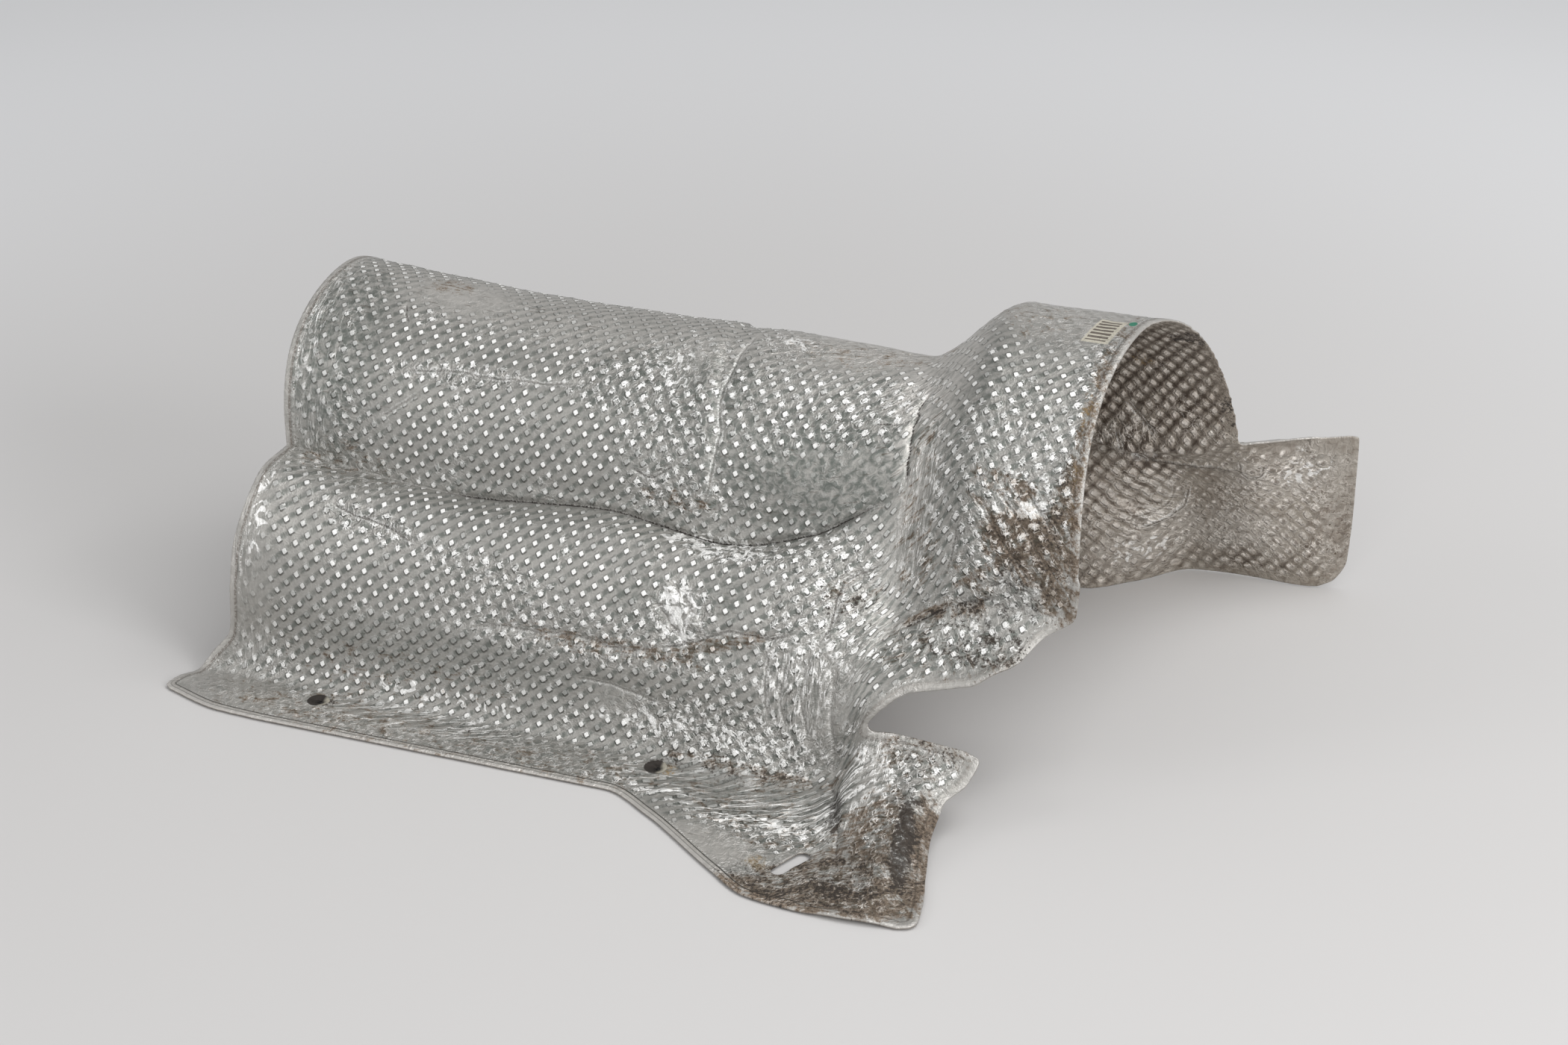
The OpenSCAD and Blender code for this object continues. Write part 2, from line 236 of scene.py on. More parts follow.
rowQ = np.arange(math.floor(blankQ.min()) - 2, math.ceil(blankQ.max()) + 2, 0.5)
ribOfQ = np.stack([np.interp(rowQ, blankQ[i], gridV) for i in range(len(gridX))])


def lookUp(field, rows, cols, r, c):    # bilinear, rows and cols evenly spaced
    i = np.clip((r - rows[0]) / (rows[1] - rows[0]), 0, len(rows) - 1.001)
    j = np.clip((c - cols[0]) / (cols[1] - cols[0]), 0, len(cols) - 1.001)
    i0, j0 = i.astype(int), j.astype(int)
    a, b = i - i0, j - j0
    if field.ndim == 3:
        a, b = a[:, None], b[:, None]
    return ((field[i0, j0] * (1 - b) + field[i0, j0 + 1] * b) * (1 - a)
            + (field[i0 + 1, j0] * (1 - b) + field[i0 + 1, j0 + 1] * b) * a)


def ribAt(x, q):
    return lookUp(ribOfQ, gridX, rowQ, x, q)


def blankAt(x, v):
    return np.stack([x, lookUp(blankQ, gridX, gridV, x, v)], -1)


def skinAt(x, v):
    return lookUp(underside, gridX, gridV, x, v), unit(lookUp(outward, gridX, gridV, x, v))


# the trimmed sheet with its dimples

sheet = {
    "rowA": (4.4, -3.9), "rowB": (2.8, 4.1),    # the two steps of the embossing, in mm on the blank
    "dimpleFoot": 0.27,                         # the foot's share of a step
    "rimStep": 1.3, "creaseStep": 1.6,          # mm between points
    "hemRows": (0.35, 1.8, 3.5, 4.3), "innerRows": (0.5, 4.2),    # rows of points beside the rim
    "lipAt": 1.2,                               # rows of points beside a crease
    "holes": ((-8, -94, 4.5), (-164, -94, 4.5)), "holeSides": 28,
    "slot": (68, -141, 20, 6, 66), "slotSides": 12,
    "holeShadeShrink": 0.14, "holeShadeAside": 1.5,         # the inner face closes the round holes to a small opening, its near-black wall standing for the shade in them
    "hemTop": (0.62, 1.02), "hemEnd": (3.3, 4.2), "faceTop": 0.7, "innerTop": 0.05,
    "burr": 1.1, "burrFrom": (3.5, 4.0), "burrTo": (5.2, 5.6), "burrPitch": (27, 70),    # the ragged far rim
}
clear = {    # mm that rows of points keep from each other
    "creaseHem": 0.8, "creaseHole": 2, "creaseCrease": 1.1, "lipHem": 0.6, "lipHole": 1.9,
    "dimpleHem": 0.9, "dimpleHole": 1.9, "dimpleCrease": 1.9,
}
# mm from each where dimples start and where they are whole
fullLift = {"rimGap": (4.2, 6.5), "holeGap": (1.5, 4), "creaseGap": (0.6, 1.6)}
# what the patches give to each point: single values, and values carried three at a time
scalars = ("crumple", "pale", "dull", "glare")
triples = {"wear": ("streak", "ripple", "cool"), "dirt": ("brown", "soot", "ochre")}


def resample(line, step):    # a polyline in the blank, evenly spaced in space
    v = ribAt(line[:, 0], line[:, 1])
    p, _ = skinAt(line[:, 0], v)
    run = np.concatenate([[0], np.cumsum(np.linalg.norm(np.diff(p, axis=0), axis=1))])
    count = max(2, round(run[-1] / step))
    s = np.linspace(0, run[-1], count + 1)
    return np.stack([np.interp(s, run, line[:, k]) for k in (0, 1)], -1)


def rimLoop():
    v = np.linspace(0, lastRib, 3001)
    left = blankAt(along(leftEnd, v), v)
    ragged = ease(*sheet["burrFrom"], v) * (1 - ease(*sheet["burrTo"], v))
    slow, quick = sheet["burrPitch"]
    burr = np.array([noise.noise(Vector((t * slow, 0, 0))) + 0.6 * noise.noise(Vector((t * quick, 3, 0))) for t in v])
    right = blankAt(along(rightEnd, v) + ragged * burr * sheet["burr"], v)
    xs = np.linspace(0, 1, 900)
    front = left[-1, 0] + (right[-1, 0] - left[-1, 0]) * xs
    back = right[0, 0] + (left[0, 0] - right[0, 0]) * xs
    edges = [left, blankAt(front, 0 * front + lastRib), right[::-1], blankAt(back, 0 * back)]
    return np.concatenate([resample(e, sheet["rimStep"])[:-1] for e in edges])


def plateToBlank(x, y):    # from places on the flange or the foot plate to the blank
    v = np.linspace(heelRib - 0.5, lastRib, 1400)
    q = []
    for px, py in zip(x, y):
        p, _ = skinAt(0 * v + px, v)
        q.append(blankAt(np.array([px]), np.array([np.interp(-(py + form["place"][1]), -p[:, 1], v)]))[0])
    return np.array(q)


def holeLoops(shrink=1.0):    # on the inner face the round holes narrow to a small opening, a wall painted near-black as the shade in the holes
    loops = []
    for x, y, r in sheet["holes"]:
        x, r = x + (1 - shrink) * sheet["holeShadeAside"], r * shrink
        a = np.arange(sheet["holeSides"]) * math.tau / sheet["holeSides"]
        loops.append(plateToBlank(x + r * np.cos(a), y + r * np.sin(a)))
    x, y, length, width, turn = sheet["slot"]
    count = sheet["slotSides"]
    a = np.arange(count) * math.pi / (count - 1) - math.pi / 2
    half, r = (length - width) / 2, width / 2
    side = np.linspace(-half, half, count)[1:-1]
    px = np.concatenate([half + r * np.cos(a), side[::-1], -half - r * np.cos(a), side])
    py = np.concatenate([r * np.sin(a), 0 * side + r, -r * np.sin(a), 0 * side - r])
    c, s = math.cos(math.radians(turn)), math.sin(math.radians(turn))
    loops.append(plateToBlank(x + px * c - py * s, y + px * s + py * c))
    return loops


def treeOf(points):
    tree = kdtree.KDTree(len(points))
    for i, p in enumerate(points):
        tree.insert((p[0], p[1], 0), i)
    tree.balance()
    return tree


def gapTo(tree, points):
    return np.array([tree.find((p[0], p[1], 0))[2] for p in points])


# folds along a rib: the rib, from x, to x, and the look (depth, painted shade, painted highlight)
ribFolds = ((7, -197, -136, (0, 0, 0)), (7, -136, 74, (1.5, 1.0, 0.3)), (8, 86, 148, (0, 0, 0)))
# creases on the blank: depth in mm (below 0 a raised one), painted shade, painted highlight, then the places
creases = {
    "step": (0.5, 0.3, 0.5, (-6, -5), (-7, 17), (-8, 33), (-7, 44), (-5, 53), (-5, 61), (-6, 73), (-9, 85)),
    "root": (1.0, 0.9, 0.1, (77, 37), (75, 44), (76, 48), (75, 54), (75, 59), (76, 69), (78, 80)),
    "rootSpur": (0.5, 0.7, 0.2, (58, 46), (68, 48), (74, 49)),
    "rootFoot": (0.5, 0.5, 0.2, (102, 112), (102, 120), (101, 127)),
    "archLong": (0.7, 0.4, 0.8, (117, 91), (126, 101), (137, 114), (147, 126)),
    "archShort": (0.6, 0.4, 0.8, (108, 97), (118, 107), (127, 118), (136, 128)),
    "archThird": (0.5, 0.3, 0.6, (128, 88), (137, 99), (145, 112)),
    "footArc": (1.0, 0.6, 0.3, (127, 120), (125, 127), (118, 132)),
    "footFold": (1.2, 0.8, 0.4, (83, 145), (94, 144), (102, 143), (111, 139), (122, 135)),
    "sFold": (1.0, 0.6, 0.8, (72, 107), (63, 109), (58, 113), (57, 120), (58, 128), (57, 133), (53, 139)),
    "bulgeA": (1.0, 0.35, 0.5, (-99, 158), (-84, 156), (-70, 155), (-57, 154), (-44, 154), (-29, 156), (-14, 155)),
    "bulgeB": (1.0, 0.5, 0.5, (-16, 154), (-5, 151), (3, 147), (18, 141), (35, 139), (44, 136)),
    "dent": (0.8, 0.6, 0.5, (-170, 120), (-156, 124), (-143, 125), (-130, 129)),
    "swirl": (0.5, 0.6, 0.4, (-41, 74), (-32, 76), (-23, 70)),
    "arc": (0.5, 0.3, 0.4, (-50, 171), (-36, 172), (-13, 176)),
    "rimNick": (0.4, 0.7, 0.2, (-160, 19), (-155, 28)),
    "topWrinkle": (0.4, 0.3, 0.3, (-141, 59), (-149, 66), (-158, 72)),
    "longRow": (0.4, 0.3, 0.5, (-150, 50), (-123, 46), (-95, 45), (-70, 42)),
    "valley": (0.9, 0.2, 0.3, (62, 146), (63, 162), (65, 177), (67, 195)),
    "valleyLow": (0.9, 0.55, 0.2, (67, 195), (72, 212), (76, 224), (82, 244), (87, 258)),
    "heelA": (0.6, 0.3, 0.5, (43, 142), (41, 158), (44, 176)),
    "heelB": (0.6, 0.3, 0.5, (51, 144), (50, 160), (54, 178)),
    "heelC": (0.5, 0.3, 0.5, (35, 146), (34, 160), (36, 172)),
    "facetA": (-0.8, 0.0, 0.3, (-15, 126), (-7, 134), (2, 143)),
    "facetB": (0.8, 0.3, 0.3, (-18, 134), (-10, 142), (-2, 149)),
    "facetC": (-0.6, 0.0, 0.3, (-3, 127), (0, 136), (5, 146)),
    "insideStreak": (-1.2, 0.1, 1.6, (134, -108), (141, -116), (148, -124)),
    "insideFold": (-1.2, 0.3, 1.6, (131, -122), (134, -134), (138, -143), (144, -147)),
    "insideLedge": (1.4, 0.6, 0.6, (141, -145), (153, -145), (168, -145), (183, -149)),
    "insideCurve": (1.2, 0.4, 1.2, (160, -161), (158, -172), (151, -180), (140, -184)),
    "insideCurve2": (0.5, 0.4, 0.4, (154, -160), (152, -169), (146, -175), (136, -178)),
    "tabLip": (-0.8, 0.4, 1.8, (206, -139), (224, -140)),
    "tabMark": (0.5, 0.5, 0.6, (183, -140), (184, -149), (188, -153), (193, -150), (193, -142)),
}


def creaseLines():    # each line with its depth, painted shade and painted highlight
    lines = []
    for rib, start, stop, look in ribFolds:
        x = np.linspace(start, stop, 600)
        lines.append((resample(blankAt(x, 0 * x + rib), sheet["creaseStep"]), look))
    for row in creases.values():
        pts = np.array(row[3:], float)
        fine = np.linspace(0, len(pts) - 1, 40 * len(pts))
        line = np.stack([along(np.c_[np.arange(len(pts)), pts[:, k]], fine) for k in (0, 1)], -1)
        t = np.concatenate([[0], np.cumsum(np.linalg.norm(np.diff(line, axis=0), axis=1))])
        for k, (slow, quick) in enumerate(((4.1, 1.3), (4.7, 1.7))):    # every line wanders a little
            line[:, k] += 0.4 * np.sin(t / slow + pts[0, k]) + 0.15 * np.sin(t / quick + pts[0, 1 - k])
        lines.append((resample(line, sheet["creaseStep"]), row[:3]))
    return lines


def creaseField(points, lines):    # distance to the nearest crease and what that crease is like there
    places, looks = [], []
    for line, look in lines:
        fine = np.stack([np.interp(np.arange(0, len(line) - 0.99, 0.25), np.arange(len(line)), line[:, k])
                         for k in (0, 1)], -1)
        t = np.linspace(0, 1, len(fine))
        fade = ease(0, 0.12, t) * (1 - ease(0.88, 1, t))
        places.append(fine)
        looks.append(fade[:, None] * np.array(look, float)[None])
    places, looks = np.concatenate(places), np.concatenate(looks)
    tree = treeOf(places)
    found = [tree.find((p[0], p[1], 0))[1:] for p in points]
    gap = np.array([f[1] for f in found])
    return gap, looks[[f[0] for f in found]]


# patches on the blank: middle, half sizes, amount, and a turn in degrees where there is one
patches = {
    "flat": (
        (44, -6, 42, 26, 0.95), (125, -4, 36, 38, 0.85), (84, 36, 16, 40, 0.2), (36, 247, 26, 13, 0.95, 15),
        (-24, 25, 16, 11, 0.9), (-165, 103, 26, 13, 0.45), (-194, 88, 14, 22, 0.6), (-199, 40, 8, 60, 0.6),
        (-204, 150, 15, 44, 0.7), (-205, 214, 40, 18, 0.9), (-139, 4, 26, 15, 0.95), (-30, 178, 12, 7, 0.8),
        (-7, 138, 12, 12, 0.6), (74, 264, 44, 20, 0.85), (112, 248, 14, 34, 0.85), (84, 214, 9, 34, 0.6),
        (82, 94, 9, 34, 0.9), (-110, 213, 115, 13, 0.8), (36, 208, 46, 11, 0.7), (228, -170, 12, 46, 0.8),
        (170, -160, 12, 14, 0.7), (-92, 99, 45, 4, 0.5, -3), (140, 122, 16, 14, 0.5), (46, 69, 36, 13, 0.85),
        (100, 144, 26, 5, 0.7), (62, 165, 12, 26, 0.8)),
    "crumple": (
        (-197, 40, 7, 50, 0.4), (-176, 80, 22, 16, 0.2), (-168, 102, 30, 12, 0.45), (-28, 42, 28, 34, 0.55),
        (-38, 31, 15, 12, 0.9), (56, 40, 30, 16, 0.6), (14, 38, 30, 22, 0.35), (12, 106, 26, 10, 1.0),
        (50, 106, 22, 16, 0.8), (-6, 138, 15, 15, 1.0), (52, 140, 24, 36, 0.8), (126, 112, 28, 34, 0.8),
        (120, 74, 30, 22, 0.45), (102, 152, 34, 16, 0.45), (24, 182, 58, 14, 0.8), (-148, 126, 24, 7, 0.9, 5),
        (-95, 134, 36, 8, 0.6, 5), (-122, 47, 30, 6, 0.8, -5), (-58, 40, 22, 12, 0.6),
        (-110, 212, 120, 14, 0.45), (56, 226, 40, 22, 0.7), (96, 206, 26, 22, 0.7), (76, 266, 44, 20, 0.7),
        (110, 246, 16, 34, 0.6), (14, 2, 18, 12, 0.7), (-206, 120, 10, 50, 0.3), (-200, 190, 24, 16, 0.25),
        (-193, 92, 16, 20, 0.3), (86, 96, 10, 40, 0.6), (146, 60, 8, 70, 0.7), (126, -8, 30, 30, 0.3),
        (44, -6, 40, 18, 0.4), (-40, 158, 80, 7, 0.5), (136, -128, 16, 16, 0.8), (144, -170, 22, 20, 0.5),
        (150, -90, 40, 44, 0.2), (200, -172, 40, 40, 0.25), (104, 248, 18, 40, 0.8), (-90, 216, 130, 16, 0.55),
        (186, -186, 20, 30, 0.3), (-55, 150, 60, 10, 0.5), (-20, 80, 26, 12, 0.7), (205, -150, 24, 14, 0.35)),
    "streak": (
        (-190, 45, 12, 60, 1.0), (-202, 150, 12, 60, 0.8), (48, 160, 18, 24, 0.8), (82, 94, 10, 36, 0.9),
        (84, 216, 12, 36, 0.7)),
    "ripple": (
        (32, 212, 60, 20, 1.0), (-120, 208, 60, 10, 0.8), (-110, 172, 76, 12, 0.5), (136, -172, 22, 22, 0.7),
        (200, -172, 30, 26, 0.4)),
    "brown": (
        (-148, -1, 13, 8, 0.6), (-36, 156, 48, 5, 0.6, 2), (12, 147, 28, 4, 0.62, -20),
        (-172, 98, 26, 12, 0.35), (-150, 188, 50, 12, 0.2), (-150, 214, 60, 16, 0.42), (-40, 216, 60, 14, 0.36),
        (110, 158, 40, 14, 0.36), (104, 196, 20, 18, 0.4), (150, 20, 4, 60, 0.5), (82, 86, 8, 40, 0.4),
        (133, 113, 24, 16, 1.0, 20), (146, 104, 8, 30, 0.9), (122, 94, 20, 12, 0.6, 10), (112, 128, 14, 8, 0.6),
        (100, 143, 24, 5, 0.7, -8), (148, 130, 10, 14, 0.8), (76, 258, 22, 10, 0.8), (62, 268, 26, 8, 0.9),
        (84, 276, 40, 12, 1.0), (52, 200, 30, 8, 0.5), (112, 270, 14, 16, 1.0), (96, 246, 24, 34, 0.75),
        (30, 216, 40, 14, 0.4), (116, 244, 9, 32, 1.0, -9), (40, 226, 34, 12, 0.35), (-130, 186, 62, 12, 0.25),
        (30, 196, 42, 4, 0.6), (100, 197, 16, 12, 0.5), (-90, 218, 140, 14, 0.3), (-20, 84, 16, 6, 0.5),
        (45, 4, 50, 12, 0.3), (150, -92, 48, 46, 1.0), (125, -150, 26, 40, 0.7), (225, -190, 16, 28, 0.5),
        (160, -206, 60, 10, 0.5), (148, 60, 5, 60, 0.6), (110, 4, 24, 20, 0.3), (58, 236, 26, 6, 0.5),
        (-175, 207, 40, 8, 0.3), (88, 118, 10, 14, 0.4), (62, 118, 14, 8, 0.4), (144, -150, 12, 9, 0.9)),
    "soot": (
        (75, 222, 3, 16, 1.0, -14), (118, 154, 30, 12, 0.55), (130, 134, 14, 10, 0.5), (104, 196, 18, 14, 0.4),
        (76, 262, 40, 16, 0.6), (20, 200, 40, 6, 0.45), (60, 122, 16, 8, 0.4), (142, 100, 6, 30, 0.45),
        (109, 243, 4.5, 28, 1.4, -9), (116, 256, 6, 26, 0.5, -9), (84, 270, 30, 10, 0.8),
        (100, 143, 22, 3, 0.7, -8), (127, 124, 6, 7, 0.7), (-162, 208, 7, 5, 0.9), (-8, 205, 6, 6, 0.9),
        (80, 280, 34, 4, 0.7, 3), (98, 262, 8, 12, 0.6), (-92, 206, 18, 3, 0.5), (106, 222, 10, 4, 0.6),
        (168, -60, 14, 8, 0.8), (180, -100, 5, 26, 0.6), (66, 258, 12, 6, 0.7, 30), (30, 194, 34, 3, 0.4)),
    "ochre": (
        (147, 52, 4, 14, 0.55), (-3, 206, 6, 5, 0.9), (56, 253, 8, 5, 0.9, 30), (148, 84, 3, 22, 0.4),
        (142, -82, 7, 5, 0.5), (88, 262, 6, 5, 0.5)),
    # pale: paler metal, plus painted light on the crown and the arch's shoulder
    "pale": (
        (70, -6, 100, 24, 0.7), (-80, 0, 150, 28, 0.65), (-139, 4, 24, 11, 0.8), (80, 30, 20, 46, 1.0),
        (96, 148, 22, 8, 0.5), (36, 247, 24, 12, 0.5, 15), (44, -6, 42, 22, 0.8), (205, -150, 30, 16, 0.75),
        (140, -198, 26, 12, 0.8), (172, -188, 36, 16, 0.8), (88, 214, 8, 34, 0.5), (228, -170, 12, 44, 0.5),
        (-208, 212, 26, 12, 0.3), (-150, 216, 60, 12, 0.55), (125, -8, 34, 26, 0.6), (80, 70, 6, 30, 0.6),
        (-60, -10, 140, 14, 0.35)),
    # glare: where bright facets are painted as highlights
    "glare": (
        (-8, 137, 10, 11, 0.9), (-3, 143, 7, 7, 0.9), (2, 104, 26, 8, 0.75), (10, 185, 52, 5, 0.35),
        (208, -152, 14, 7, 0.6), (-32, 28, 9, 10, 0.4), (-120, 192, 50, 4, 0.25), (140, -142, 5, 6, 0.7),
        (106, 150, 14, 6, 0.15), (10, 0, 12, 6, 0.4), (140, -196, 14, 6, 0.5), (50, 226, 24, 5, 0.4),
        (128, 96, 12, 16, 0.2), (-198, 130, 4, 20, 0.25)),
    "dull": (
        (84, 36, 18, 40, 0.35), (100, 240, 24, 36, 0.8), (40, 216, 60, 22, 0.75), (-178, 40, 18, 50, 0.55),
        (-120, 172, 76, 15, 0.85), (-40, 168, 40, 9, 0.6), (-185, 150, 20, 40, 0.4), (-110, 212, 120, 12, 0.6),
        (-60, 6, 130, 20, 0.85), (70, 262, 50, 24, 0.85), (-60, 92, 90, 8, 0.5), (-170, 70, 20, 30, 0.4),
        (60, 68, 40, 20, 0.6), (60, 170, 20, 26, 0.6), (30, 205, 46, 12, 0.5), (100, 120, 20, 30, 0.4),
        (110, 250, 20, 40, 0.7)),
    "cool": (
        (-80, 40, 130, 66, 0.14), (110, 40, 50, 80, 0.14), (40, 214, 60, 24, 0.3), (-100, 214, 120, 12, 0.2),
        (-10, 46, 24, 34, 0.7), (-184, 46, 22, 56, 0.9), (-110, 172, 76, 12, 0.4), (104, 158, 34, 10, 0.6),
        (-176, 62, 18, 22, 0.6), (40, 64, 50, 28, 1.0), (-40, 36, 28, 22, 0.6), (8, 150, 16, 8, 0.5),
        (-24, 134, 14, 12, 0.6), (110, 60, 26, 30, 0.4), (-40, 60, 34, 20, 0.4), (98, 152, 26, 10, 0.7),
        (10, 128, 12, 10, 0.6)),
}


press = {    # where patches and dents fade, in half sizes; mm from a crease; mm from the rim
    "patchFade": (0.55, 1.25), "dentFade": (0.1, 1.3), "dentShare": 0.6,
    "fold": (0, 2.4), "swell": (2.4, 6), "swellShare": 0.3, "fromRim": (3, 12),
}


def patchField(name, points):    # the strongest patch of one kind at each place
    value = np.zeros(len(points))
    for x, q, a, b, amount, *turn in patches[name]:
        c, s = math.cos(math.radians(sum(turn))), math.sin(math.radians(sum(turn)))
        dx, dq = points[:, 0] - x, points[:, 1] - q
        r = np.hypot((dx * c + dq * s) / a, (dq * c - dx * s) / b)
        value = np.maximum(value, amount * (1 - ease(*press["patchFade"], r)))
    return value


# dents as broad as a thumb: middle on the blank, half sizes, depth in mm
dents = (
    (-150, 127, 22, 7, 1.6), (-100, 134, 34, 8, -0.7), (-8, 138, 12, 14, 2.0), (18, 108, 18, 9, -0.8),
    (-36, 32, 14, 12, 0.8), (14, 40, 16, 14, 0.7), (48, 70, 20, 14, 0.9), (-60, 153, 54, 7, 1.8),
    (10, 147, 26, 7, 2.0), (-30, 163, 70, 6, -0.8), (-170, 45, 12, 30, 0.8), (-178, 100, 24, 12, 0.8),
    (-30, 176, 18, 8, 0.9), (30, 160, 24, 12, 0.6), (120, 112, 10, 16, 1.2), (104, 78, 14, 14, 0.7),
    (136, 84, 10, 18, 0.8), (100, 152, 16, 8, -0.8), (60, 126, 8, 14, 0.8), (30, 206, 26, 6, 0.6),
    (136, -130, 11, 9, 3.2), (141, -148, 10, 6, -1.5), (150, -172, 14, 12, 1.0), (190, -184, 14, 20, 0.8),
    (168, -96, 12, 20, 0.6), (214, -156, 14, 8, 0.6), (-110, 66, 22, 10, 0.5), (-62, 40, 22, 8, 0.6),
    (92, 216, 10, 18, 0.6), (-120, 206, 40, 6, 0.5))


def dentDepth(points):
    depth = np.zeros(len(points))
    for x, q, a, b, d in dents:
        r = np.hypot((points[:, 0] - x) / a, (points[:, 1] - q) / b)
        depth += d * (1 - ease(*press["dentFade"], r))
    return depth


def latticePoints(offsets):
    a, b = np.array(sheet["rowA"]), np.array(sheet["rowB"])
    i, j = np.meshgrid(np.arange(-90, 91), np.arange(-110, 111), indexing="ij")
    cells = np.stack([i.ravel(), j.ravel()], -1)
    places = cells @ np.stack([a, b])
    keep = ((places[:, 0] > gridX[0]) & (places[:, 0] < gridX[-1])
            & (places[:, 1] > rowQ[0]) & (places[:, 1] < rowQ[-1]))
    cells = cells[keep]
    spots = np.concatenate([cells + o for o in offsets])
    return spots @ np.stack([a, b])


def onSheet(p):
    v = ribAt(p[:, 0], p[:, 1])
    return (p[:, 0] > along(leftEnd, v)) & (p[:, 0] < along(rightEnd, v)) & (v > 0) & (v < lastRib)


def clearOf(points, *gaps):    # the points on the sheet that keep their distances
    points = points[onSheet(points)]
    for tree, gap in gaps:
        points = points[gapTo(tree, points) > gap]
    return points


def inward(loop):    # unit normals of a loop that runs round the sheet, pointing into it
    t = np.roll(loop, -1, 0) - np.roll(loop, 1, 0)
    n = unit(np.stack([t[:, 1], -t[:, 0]], -1))
    probe = onSheet(loop + n * 1.0).mean() > onSheet(loop - n * 1.0).mean()
    return n if probe else -n


def layOut(offsets, rows, shrink, lines):    # points and triangles of one side, on the blank
    border = rimLoop()
    holes = holeLoops(shrink)
    rimTree = treeOf(resample(np.concatenate([border, border[:1]]), 0.5))
    holeTree = treeOf(np.concatenate(holes))
    hem = rows[-1]
    points, edges = [], []

    def add(line, closed):
        at = sum(len(p) for p in points)
        points.append(line)
        n = len(line)
        edges.extend((at + k, at + (k + 1) % n) for k in range(n if closed else n - 1))

    for loop in [border] + holes:
        add(loop, True)
    n = inward(border)
    for d in rows:
        line = border + n * d
        points.append(line[(gapTo(rimTree, line) > d * 0.93) & within(line, border)])
    points.extend(loop + unit(loop - loop.mean(0)) for loop in holes)
    kept = []
    for line, look in lines:    # a crease stops short of the hem and of the other creases
        line = clearOf(line, (rimTree, hem + clear["creaseHem"]), (holeTree, clear["creaseHole"]))
        if kept and len(line):
            line = line[gapTo(treeOf(np.concatenate(kept)), line) > clear["creaseCrease"]]
        if len(line) < 3:
            continue
        jumps = np.linalg.norm(np.diff(line, axis=0), axis=1) > 3 * sheet["creaseStep"]
        for run in np.split(line, np.nonzero(jumps)[0] + 1):
            if len(run) > 2:
                add(run, False)
                kept.append(run)
    creaseTree = treeOf(np.concatenate(kept))
    for line in kept:    # a row on either side of it
        turn = np.gradient(line, axis=0)
        turn = unit(np.stack([turn[:, 1], -turn[:, 0]], -1)) * sheet["lipAt"]
        for row in (line + turn, line - turn):
            row = clearOf(row, (creaseTree, sheet["lipAt"] * 0.9), (rimTree, hem + clear["lipHem"]),
                          (holeTree, clear["lipHole"]))
            if len(row):
                points.append(row)
    spots = clearOf(latticePoints(offsets), (rimTree, hem + clear["dimpleHem"]), (holeTree, clear["dimpleHole"]),
                    (creaseTree, clear["dimpleCrease"]))
    for loop in holes:
        spots = spots[~within(spots, loop)]
    points.append(spots)
    flat = np.concatenate(points)
    verts, _, faces, origin, _, _ = delaunay_2d_cdt([Vector(p) for p in flat], edges, [], 1, 1e-4, True)
    verts, faces = np.array([tuple(p) for p in verts]), np.array(faces)
    middle = verts[faces].mean(1)
    keep = within(middle, border)
    for loop in holes:
        keep &= ~within(middle, loop)
    back = {o[0]: i for i, o in enumerate(origin) if len(o)}
    loops, at = [], 0
    for line in [border] + holes:
        loops.append([back[at + k] for k in range(len(line))])
        at += len(line)
    return verts, faces[keep], loops, rimTree, holeTree


def within(points, loop):    # which points lie inside a closed loop
    a, b = loop, np.roll(loop, -1, 0)
    slope = (b[:, 0] - a[:, 0]) / np.where(b[:, 1] == a[:, 1], 1e-9, b[:, 1] - a[:, 1])
    inside = []
    for part in np.array_split(points, max(1, len(points) // 500)):
        px, py = part[:, :1], part[:, 1:]
        crosses = (a[:, 1] > py) != (b[:, 1] > py)
        inside.append((crosses & (px < a[:, 0] + (py - a[:, 1]) * slope)).sum(1) % 2 == 1)
    return np.concatenate(inside)


def buildSheet():
    f = sheet["dimpleFoot"]
    cross = [(0, 0), (f, 0), (-f, 0), (0, f), (0, -f)]
    corners = [(f, f), (-f, -f), (f, -f), (-f, f)]
    lines = creaseLines()
    bores = treeOf(np.concatenate(holeLoops()[:2]))
    made = []
    for name, offsets, rows, shrink in (("outer", cross + corners, sheet["hemRows"], 1.0),
                                        ("inner", cross, sheet["innerRows"], sheet["holeShadeShrink"])):
        blank, faces, loops, rimTree, holeTree = layOut(offsets, rows, shrink, lines)
        place, out = skinAt(blank[:, 0], ribAt(blank[:, 0], blank[:, 1]))
        if name == "inner":
            bores = treeOf(np.concatenate([blank[k] for k in loops[1:3]]))
        creaseGap, look = creaseField(blank, lines)
        made.append(dict(
            blank=blank, faces=faces, loops=loops, place=place, out=out, creaseGap=creaseGap, crease=look,
            rimGap=gapTo(rimTree, blank), holeGap=gapTo(holeTree, blank), boreGap=gapTo(bores, blank)))
        print(name, "side:", len(blank), "points,", len(faces), "triangles")
    return made


sides = buildSheet()


def hemHeight(gap):    # the outer face over the underside: rolled rim, flat hem, groove, then the sheet
    low, high = sheet["hemTop"]
    past = ease(*sheet["hemEnd"], gap)
    return (low + (high - low) * ease(-0.1, 0.5, gap)) * (1 - past) + sheet["faceTop"] * past


def pressIn(s):    # how far creases and dents push one side's points inward, in mm
    gap, depth = s["creaseGap"], s["crease"][:, 0]
    past = ease(*press["fold"], gap)
    fold = depth * (1 - past - press["swellShare"] * past * (1 - ease(*press["swell"], gap)))
    return (fold + dentDepth(s["blank"]) * press["dentShare"]) * ease(*press["fromRim"], s["rimGap"])


